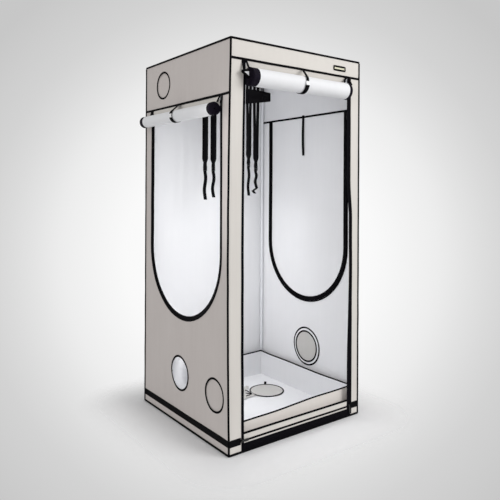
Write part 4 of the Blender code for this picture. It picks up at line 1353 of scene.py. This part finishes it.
leftPort = {"wall": "left", "lap": 0.013, "step": 0.0, "finish": "side"}
rightPort = {"wall": "right", "lap": 0.019, "step": 0.004, "finish": "lid"}
ports = {
    "upper": leftPort | {"place": openings["upperPort"], "node": "port_cover_left_upper"},
    "lower": leftPort | {"place": openings["lowerPort"], "node": "port_cover_left_lower"},
    "right": rightPort | {"place": openings["rightPort"], "node": "port_cover_right"},
}
portTrim = {
    "thick": 0.0010,
    "height": 0.0016,
    "over": 0.0020,
    "rings": 7,
    "sides": 64,
    "outside": 0.0094,  # the widths of the bindings
    "edge": 0.0092,
    "inside": 0.0088,
    "openOutside": 0.0098,
    "openInside": 0.0050,
}


def ringPath(radius, u, v):
    # a sewn circle, a little out of true
    points = []
    for i in range(portTrim["sides"]):
        turn = math.tau * i / portTrim["sides"]
        reach = radius * (1 + 0.006 * math.sin(2 * turn + u * 9) + 0.004 * math.sin(5 * turn + v * 3))
        points.append((u + reach * math.cos(turn), v + reach * math.sin(turn)))
    return points


def bindingRing(wall, radius, u, v, out, wide):
    # a binding round a port, outside the wall or, where out is below zero, inside it
    bm = sweep(ringPath(radius, u, v), domeSection(portTrim[wide], portTrim["height"]), True)
    return laid(bm, wall, out)


def domeSection(wide, high):
    # a bound edge: flat below, rounded above
    half = wide / 2
    right = [(half, high * 0.45), (half * 0.6, high * 0.9)]
    left = [(-a, b) for a, b in reversed(right)]
    return [(-half, 0), (half, 0), *right, (0, high), *left]


def buildPorts():
    onInside = -tent["cloth"] - 0.0004
    for name, port in ports.items():
        wall = port["wall"]
        u, v, radius = port["place"]
        outer = radius + port["lap"]
        step = outer / (portTrim["rings"] + 1.5)
        bm = ringedDisc(outer, portTrim["sides"], portTrim["rings"], step)
        for vert in bm.verts:
            spread = vert.co.length / outer
            ripple = drift(vert.co.x * 25, vert.co.y * 14, u)
            dish = 0.0028 * (1 - spread ** 2) + 0.0010 * ripple
            vert.co = (u + vert.co.x, v + vert.co.y, -tent["cloth"] - 0.0006 - max(dish, 0.0))
        bm = solidified("disc", bm, portTrim["thick"], 0.0)
        for face in bm.faces:
            middle = face.calc_center_median()
            reach = math.hypot(middle.x - u, middle.y - v)
            face.material_index = 1 if reach > radius + port["step"] else 0
        bm = ontoWall(bm, wall)
        replaced = [port["node"]]
        made = piece(f"port_{name}_cover", bm, port["finish"], "tent", replaced, "lining")
        size, area = (2 * outer, 2 * outer), math.pi * outer ** 2
        overCover = -tent["cloth"] - portTrim["thick"] - portTrim["over"]
        rings = [
            bindingRing(wall, radius + 0.001, u, v, 0.0002, "outside"),
            bindingRing(wall, outer + 0.0040, u, v, onInside, "edge"),
            bindingRing(wall, radius + port["step"], u, v, overCover, "inside"),
        ]
        piece(f"port_{name}_binding", merged(*rings), "binding", "tent")
    u, v, radius = openings["openPort"]
    rings = [
        bindingRing("left", radius + 0.001, u, v, 0.0002, "openOutside"),
        bindingRing("left", radius + 0.012, u, v, onInside, "openInside"),
    ]
    piece("port_open_binding", merged(*rings), "binding", "tent")


buildPorts()
print("ports done")


# the open port's sleeve, drooping into the tray in gathered folds, and its round lid lying open

sleeve = {
    "start": -0.3979,
    "mouth": (0.115, 0.118),
    "rest": 0.0041,
    "flat": (0.071, 0.0050),
    "drop": (0.62, 0.85),
    "fold": 0.0026,
    "folds": 7,
    "steps": 150,
    "sides": 72,
    "wall": 0.0010,
    "run": (0.515, 0.22, 0.096),  # how far it goes along, down and aside
    "fullness": 1.05,
    "hem": 0.0012,
}


def sleeveAt(share):
    # the middle, half width and half height of the sleeve along its length
    u, v, radius = openings["openPort"]
    droop = eased(share / sleeve["drop"][0])
    flat = eased(share / sleeve["drop"][1])
    fold = sleeve["fold"] * math.sin(math.pi * share) * math.sin(math.tau * share * sleeve["folds"])
    tall = between(radius - 0.0008, sleeve["flat"][1], flat) + fold
    wide = between(radius - 0.0008, sleeve["flat"][0], flat) + fold
    x = between(sleeve["start"], sleeve["mouth"][0], share)
    y = between(u, sleeve["mouth"][1] + 0.044, eased(share))
    z = max(between(v, sleeve["rest"] + sleeve["flat"][1], droop), sleeve["rest"] + tall)
    return Vector((x, y, z)), wide, tall


def roundLid(y):
    # how far the mouth follows the round lid's edge at a place across
    x, clear = sleeve["mouth"][0], 0.1035
    aside = min(abs(y - sleeve["mouth"][1]), clear * 0.88)
    return max(0.210 - math.sqrt(clear ** 2 - aside ** 2) - x, 0)


def buildSleeve():
    bm = bmesh.new()
    bmesh.ops.create_cone(bm, cap_ends=False, segments=sleeve["sides"], radius1=1, radius2=1, depth=1)
    along = [edge for edge in bm.edges if abs(edge.verts[0].co.z - edge.verts[1].co.z) > 0.5]
    bmesh.ops.subdivide_edges(bm, edges=along, cuts=sleeve["steps"] - 1, use_grid_fill=True)
    for vert in bm.verts:
        share = vert.co.z + 0.5
        turn = math.atan2(vert.co.y, vert.co.x)
        middle, wide, tall = sleeveAt(share)
        slack = math.sin(math.pi * min(share * 1.02, 1.0)) ** 0.6
        crease = drift(share * 13, math.cos(turn) * 1.4, math.sin(turn) * 1.4)
        fine = drift(share * 34, math.cos(turn) * 2.6, math.sin(turn) * 2.6 + 4)
        fold = 0.0040 * math.copysign(abs(crease) ** 0.8, crease)
        ripple = min(slack * (fold + 0.0016 * fine), 0.0032)
        across = math.cos(turn) * (wide + ripple)
        up = math.sin(turn) * (tall + ripple)
        vert.co = middle + Vector((0.0030 * slack * fine, across, up))
        vert.co.x += roundLid(vert.co.y) * eased((share - 0.55) / 0.45)
        vert.co.z = max(vert.co.z, sleeve["rest"] + 0.0004)
    tube = loose("sleeve", bm)
    modifier = tube.modifiers.new("thickness", "SOLIDIFY")
    modifier.thickness = sleeve["wall"]
    modifier.offset = -1.0
    modifier.material_offset = 1  # the lining, which needs both of the scratch tube's slots
    tube.data.materials.append(None)
    tube.data.materials.append(None)
    bm = settled(tube)
    made = piece("port_sleeve_cloth", bm, "lid", "tent", ["port_sleeve"], "lining")
    size = (math.hypot(*sleeve["run"]) * sleeve["fullness"], math.tau * openings["openPort"][2])
    middle, wide, tall = sleeveAt(1.0)
    hem = sleeve["hem"]
    ring = ellipse(wide + 0.0006, tall + 0.0004, middle.y, middle.z, 64)
    bm = sweep(ring, [(-hem, -0.0025), (hem, -0.0025), (hem, 0.0020), (-hem, 0.0020)], True)
    for vert in bm.verts:
        y, z, x = vert.co
        vert.co = (middle.x + x - 0.003 + roundLid(y), y, max(z, sleeve["rest"] + 0.0003))
    piece("port_sleeve_hem", bm, "lid", "tent")


gathers = {
    "radius": 0.0021,
    "lines": (
        ((0.1020, 0.1060), (0.0780, 0.1000), (0.0560, 0.0960)),
        ((0.1030, 0.1073), (0.0920, 0.1200), (0.0804, 0.1314)),
        ((0.1040, 0.1090), (0.1060, 0.1400), (0.1041, 0.1712)),
    ),
}


def onSleeve(x, y):
    # the height of the sleeve's upper side at a place
    share = (x - roundLid(y) - sleeve["start"]) / (sleeve["mouth"][0] - sleeve["start"])
    middle, wide, tall = sleeveAt(min(share, 1.0))
    return middle.z + tall * math.sqrt(max(1 - ((y - middle.y) / wide) ** 2, 0.0))


def buildGathers():
    # the draw cord's folds where the sleeve is gathered beside the lid
    parts = []
    for line in gathers["lines"]:
        bm = sweep(dense(line, 0.004), roundSection(gathers["radius"], 8))
        for vert in bm.verts:
            vert.co.z += onSleeve(vert.co.x, vert.co.y) + gathers["radius"] * 1.4
        parts.append(bm)
    piece("port_sleeve_gathers", merged(*parts), "binding", "tent")


buildSleeve()
buildGathers()

lid = {
    "radius": 0.098,
    "hinge": (0.1199, 0.118, 0.0041),
    "edge": 0.0012,
    "cloth": 0.0013,
    "rimThick": 0.0046,
    "rim": 0.007,
    "tab": 57,
    "sides": 80,
    "rings": 8,
}


def buildLid():
    radius = lid["radius"]
    hinge = Vector(lid["hinge"])
    bm = ringedDisc(radius - lid["edge"], lid["sides"], lid["rings"], radius / (lid["rings"] + 1.5))
    for vert in bm.verts:
        spread = vert.co.length / radius
        wave = 0.0008 * drift(vert.co.x * 18, vert.co.y * 12, 5)
        up = 0.0008 + 0.0006 * (1 - spread ** 2) + max(wave, -0.0004)
        vert.co = (vert.co.x + radius, vert.co.y, up)
    raised(bm, bm.faces[:], lid["cloth"])
    bmesh.ops.translate(bm, verts=bm.verts, vec=hinge)
    made = piece("port_lid_cloth", bm, "lid", "lid", ["port_lid"])
    half = lid["rimThick"] / 2
    upper = [(0.0030, half * 0.6), (0.0012, half), (-0.0035, half * 0.75)]
    section = [(a, -b) for a, b in reversed(upper)] + [(0.0034, 0)] + upper
    ring = radius - 0.0034
    bm = sweep(ellipse(ring, ring, count=lid["sides"]), section, True)
    bmesh.ops.translate(bm, verts=bm.verts, vec=hinge + Vector((radius, 0, half)))
    turn = math.radians(lid["tab"])
    reach = radius - lid["rim"] / 2
    root = hinge + Vector((radius + reach * math.cos(turn), reach * math.sin(turn), 0.002))
    standing = [(0, 0), (0.0004, 0.006), (0.0016, 0.012), (0.0012, 0.0175)]
    tab = sweep(standing, softStrap(0.014, 0.0016, 0.1))
    for vert in tab.verts:
        a, b, w = vert.co
        x = a * math.cos(turn) - w * math.sin(turn)
        vert.co = root + Vector((x, a * math.sin(turn) + w * math.cos(turn), b))
    trim = piece("port_lid_binding", merged(bm, tab), "binding", "lid")


buildLid()
print("sleeve and lid done")


# a bare woven plate in a black frame on the fascia

plate = {"low": (0.2195, 1.7425), "high": (0.2965, 1.7600), "frame": 0.0092, "thick": 0.0010}


def buildPlate():
    (u0, v0), (u1, v1) = plate["low"], plate["high"]
    corners = [(u0, v0), (u1, v0), (u1, v1), (u0, v1)]
    bm = sweep(denseRing(corners, 0.01), domeSection(plate["frame"], plate["thick"] * 1.3), True)
    piece("plate_frame", laid(bm, "front", 0.0012), "binding", "tent")
    bm = gridSheet(plate["low"], plate["high"], 16, 6)
    raised(bm, bm.faces[:], plate["thick"])
    piece("plate_cloth", laid(bm, "front", 0.0004), "label", "tent")


buildPlate()
print("plate done")


# light metal and moulded parts keep their solids and get their finish

def dress(names, finish):
    for name in names:
        mesh = nodes[name].data
        mesh.materials.clear()
        mesh.materials.append(finishes[finish])


dress([n for n in nodes if n.startswith(("post_", "base_rail", "top_rail", "crossbar"))], "enamel")
dress([n for n in nodes if n.startswith("connector")], "connector")
dress([n for n in nodes if n.startswith("hang_buckle") or "slider" in n], "black")
dress(["front_roll_buckle", "left_roll_buckle"], "white")


# camera, floor and light

view = {
    "place": (-1.7629, -2.3679, 1.1501),
    "yaw": -36.736,
    "roll": 0.284,
    "lens": 40.26,
    "shiftUp": -0.1222,  # the horizon lies above the middle of the photograph
}
studio = {
    "world": 0.55,
    "key": ((2.3, -4.2, 3.0), (0, 0, 0.9), (3.0, 2.6), 132),
    "fill": ((-4.0, -2.2, 2.4), (0, 0, 0.8), (2.6, 2.6), 28),
    "inner": ((-0.368, 0.0, 0.92), (0.4, 0.0, 0.92), (0.66, 1.44), 1.07),
    "door": ((-0.22, -0.372, 1.25), (-0.22, 0.4, 1.25), (0.26, 0.80), 1.3),
    "down": ((0.12, 0.14, 1.28), (0.12, 0.14, 0.0), (0.34, 0.40), 0.86),
    "edge": ((-0.56, -0.375, 1.20), (-0.40, -0.375, 1.20), (0.06, 0.60), 0.22),
    "port": ((-0.392, 0.024, 0.25), (0.4, 0.024, 0.25), (0.12, 0.12), 0.026),
    "floor": shade(238, 238, 239),
    "facing": (0.5981, 0.8014, -0.1093),
    "backdrop": (
        (0.70, 232),
        (0.80, 200),
        (0.855, 199),
        (0.902, 211),
        (0.919, 219),
        (0.933, 227),
        (0.948, 237),
        (0.963, 243),
        (0.978, 250),
    ),  # grey levels by how near a direction is to facing
}


def addCamera():
    data = bpy.data.cameras.new("camera")
    data.lens = view["lens"]
    data.sensor_width = 36
    data.shift_y = view["shiftUp"]
    camera = bpy.data.objects.new("camera", data)
    scene.collection.objects.link(camera)
    turn = Matrix.Rotation(math.radians(view["yaw"]), 4, "Z")
    level = Matrix.Rotation(math.radians(90), 4, "X")
    roll = Matrix.Rotation(math.radians(view["roll"]), 4, "Z")
    camera.matrix_world = Matrix.Translation(view["place"]) @ turn @ level @ roll
    scene.camera = camera


def addLamp(name, place, target, size, power):
    data = bpy.data.lights.new(name, "AREA")
    data.shape = "RECTANGLE"
    data.size, data.size_y = size
    data.energy = power
    lamp = bpy.data.objects.new(name, data)
    scene.collection.objects.link(lamp)
    away = Vector(place) - Vector(target)
    lamp.matrix_world = Matrix.Translation(place) @ away.to_track_quat("Z", "Y").to_matrix().to_4x4()
    return lamp


def addLamps():
    addLamp("key_light", *studio["key"])
    addLamp("fill_light", *studio["fill"])
    for name in ("inner", "door", "down", "edge", "port"):
        lamp = addLamp(name + "_light", *studio[name])
        lamp.visible_camera = False
        lamp.data.spread = math.radians(80 if name == "down" else 170)


def addBackdrop():
    # even white light, and grey tones where the camera, gloss or clear parts see the world itself
    world = bpy.data.worlds.new("studio")
    scene.world = world
    sky = Network(world)
    light = sky.tree.nodes["Background"]
    light.inputs["Color"].default_value = (1, 1, 1, 1)
    light.inputs["Strength"].default_value = studio["world"]
    place = sky.node("ShaderNodeTexCoord", output="Generated")
    values = {0: place, 1: Vector(studio["facing"]).normalized()}
    toward = sky.node("ShaderNodeVectorMath", {"operation": "DOT_PRODUCT"}, values, "Value")
    stops = [(at, shade(tone, tone, tone)) for at, tone in studio["backdrop"]]
    tones = sky.node("ShaderNodeValToRGB", {"stops": stops}, {"Fac": toward}, "Color")
    seen = sky.node("ShaderNodeBackground", {}, {"Color": tones})
    rays = sky.node("ShaderNodeLightPath", output="Is Camera Ray")
    outputs = rays.socket.node.outputs
    for other in ("Is Glossy Ray", "Is Transmission Ray"):
        rays = rays.math("MAXIMUM", rays, Level(sky, outputs[other]))
    values = {"Fac": rays, 1: Level(sky, light.outputs[0]), 2: seen}
    pick = sky.node("ShaderNodeMixShader", {}, values)
    sky.join(pick, sky.tree.nodes["World Output"].inputs["Surface"])


def addFloor():
    # the floor gives way to the backdrop with the distance from the tent's footprint
    bm = bmesh.new()
    bmesh.ops.create_circle(bm, cap_ends=True, segments=96, radius=3.4)
    floor = loose("floor", bm)
    floor.location.z = -0.0004
    ground = Finish("studio_floor", studio["floor"], {"Roughness": 0.9, "Specular IOR Level": 0.1})
    footprint = (tent["halfWidth"], tent["halfDepth"], 1.0)
    away = ground.node("ShaderNodeVectorMath", {"operation": "ABSOLUTE"}, {0: ground.place})
    away = ground.node("ShaderNodeVectorMath", {"operation": "SUBTRACT"}, {0: away, 1: footprint})
    away = ground.node("ShaderNodeVectorMath", {"operation": "MAXIMUM"}, {0: away, 1: (0.0, 0.0, 0.0)})
    distance = ground.node("ShaderNodeVectorMath", {"operation": "LENGTH"}, {0: away}, "Value")
    values = {"Value": distance, "From Min": 0.0, "From Max": 0.38}
    fade = ground.node("ShaderNodeMapRange", {"interpolation_type": "SMOOTHSTEP"}, values)
    clear = ground.node("ShaderNodeBsdfTransparent")
    values = {"Fac": fade, 1: Level(ground, ground.shader.outputs[0]), 2: clear}
    blend = ground.node("ShaderNodeMixShader", {}, values)
    ground.join(blend, ground.tree.nodes["Material Output"].inputs["Surface"])
    floor.data.materials.append(ground.material)


addCamera()
addLamps()
addBackdrop()
addFloor()
scene.view_settings.view_transform = "Standard"
print("studio done")
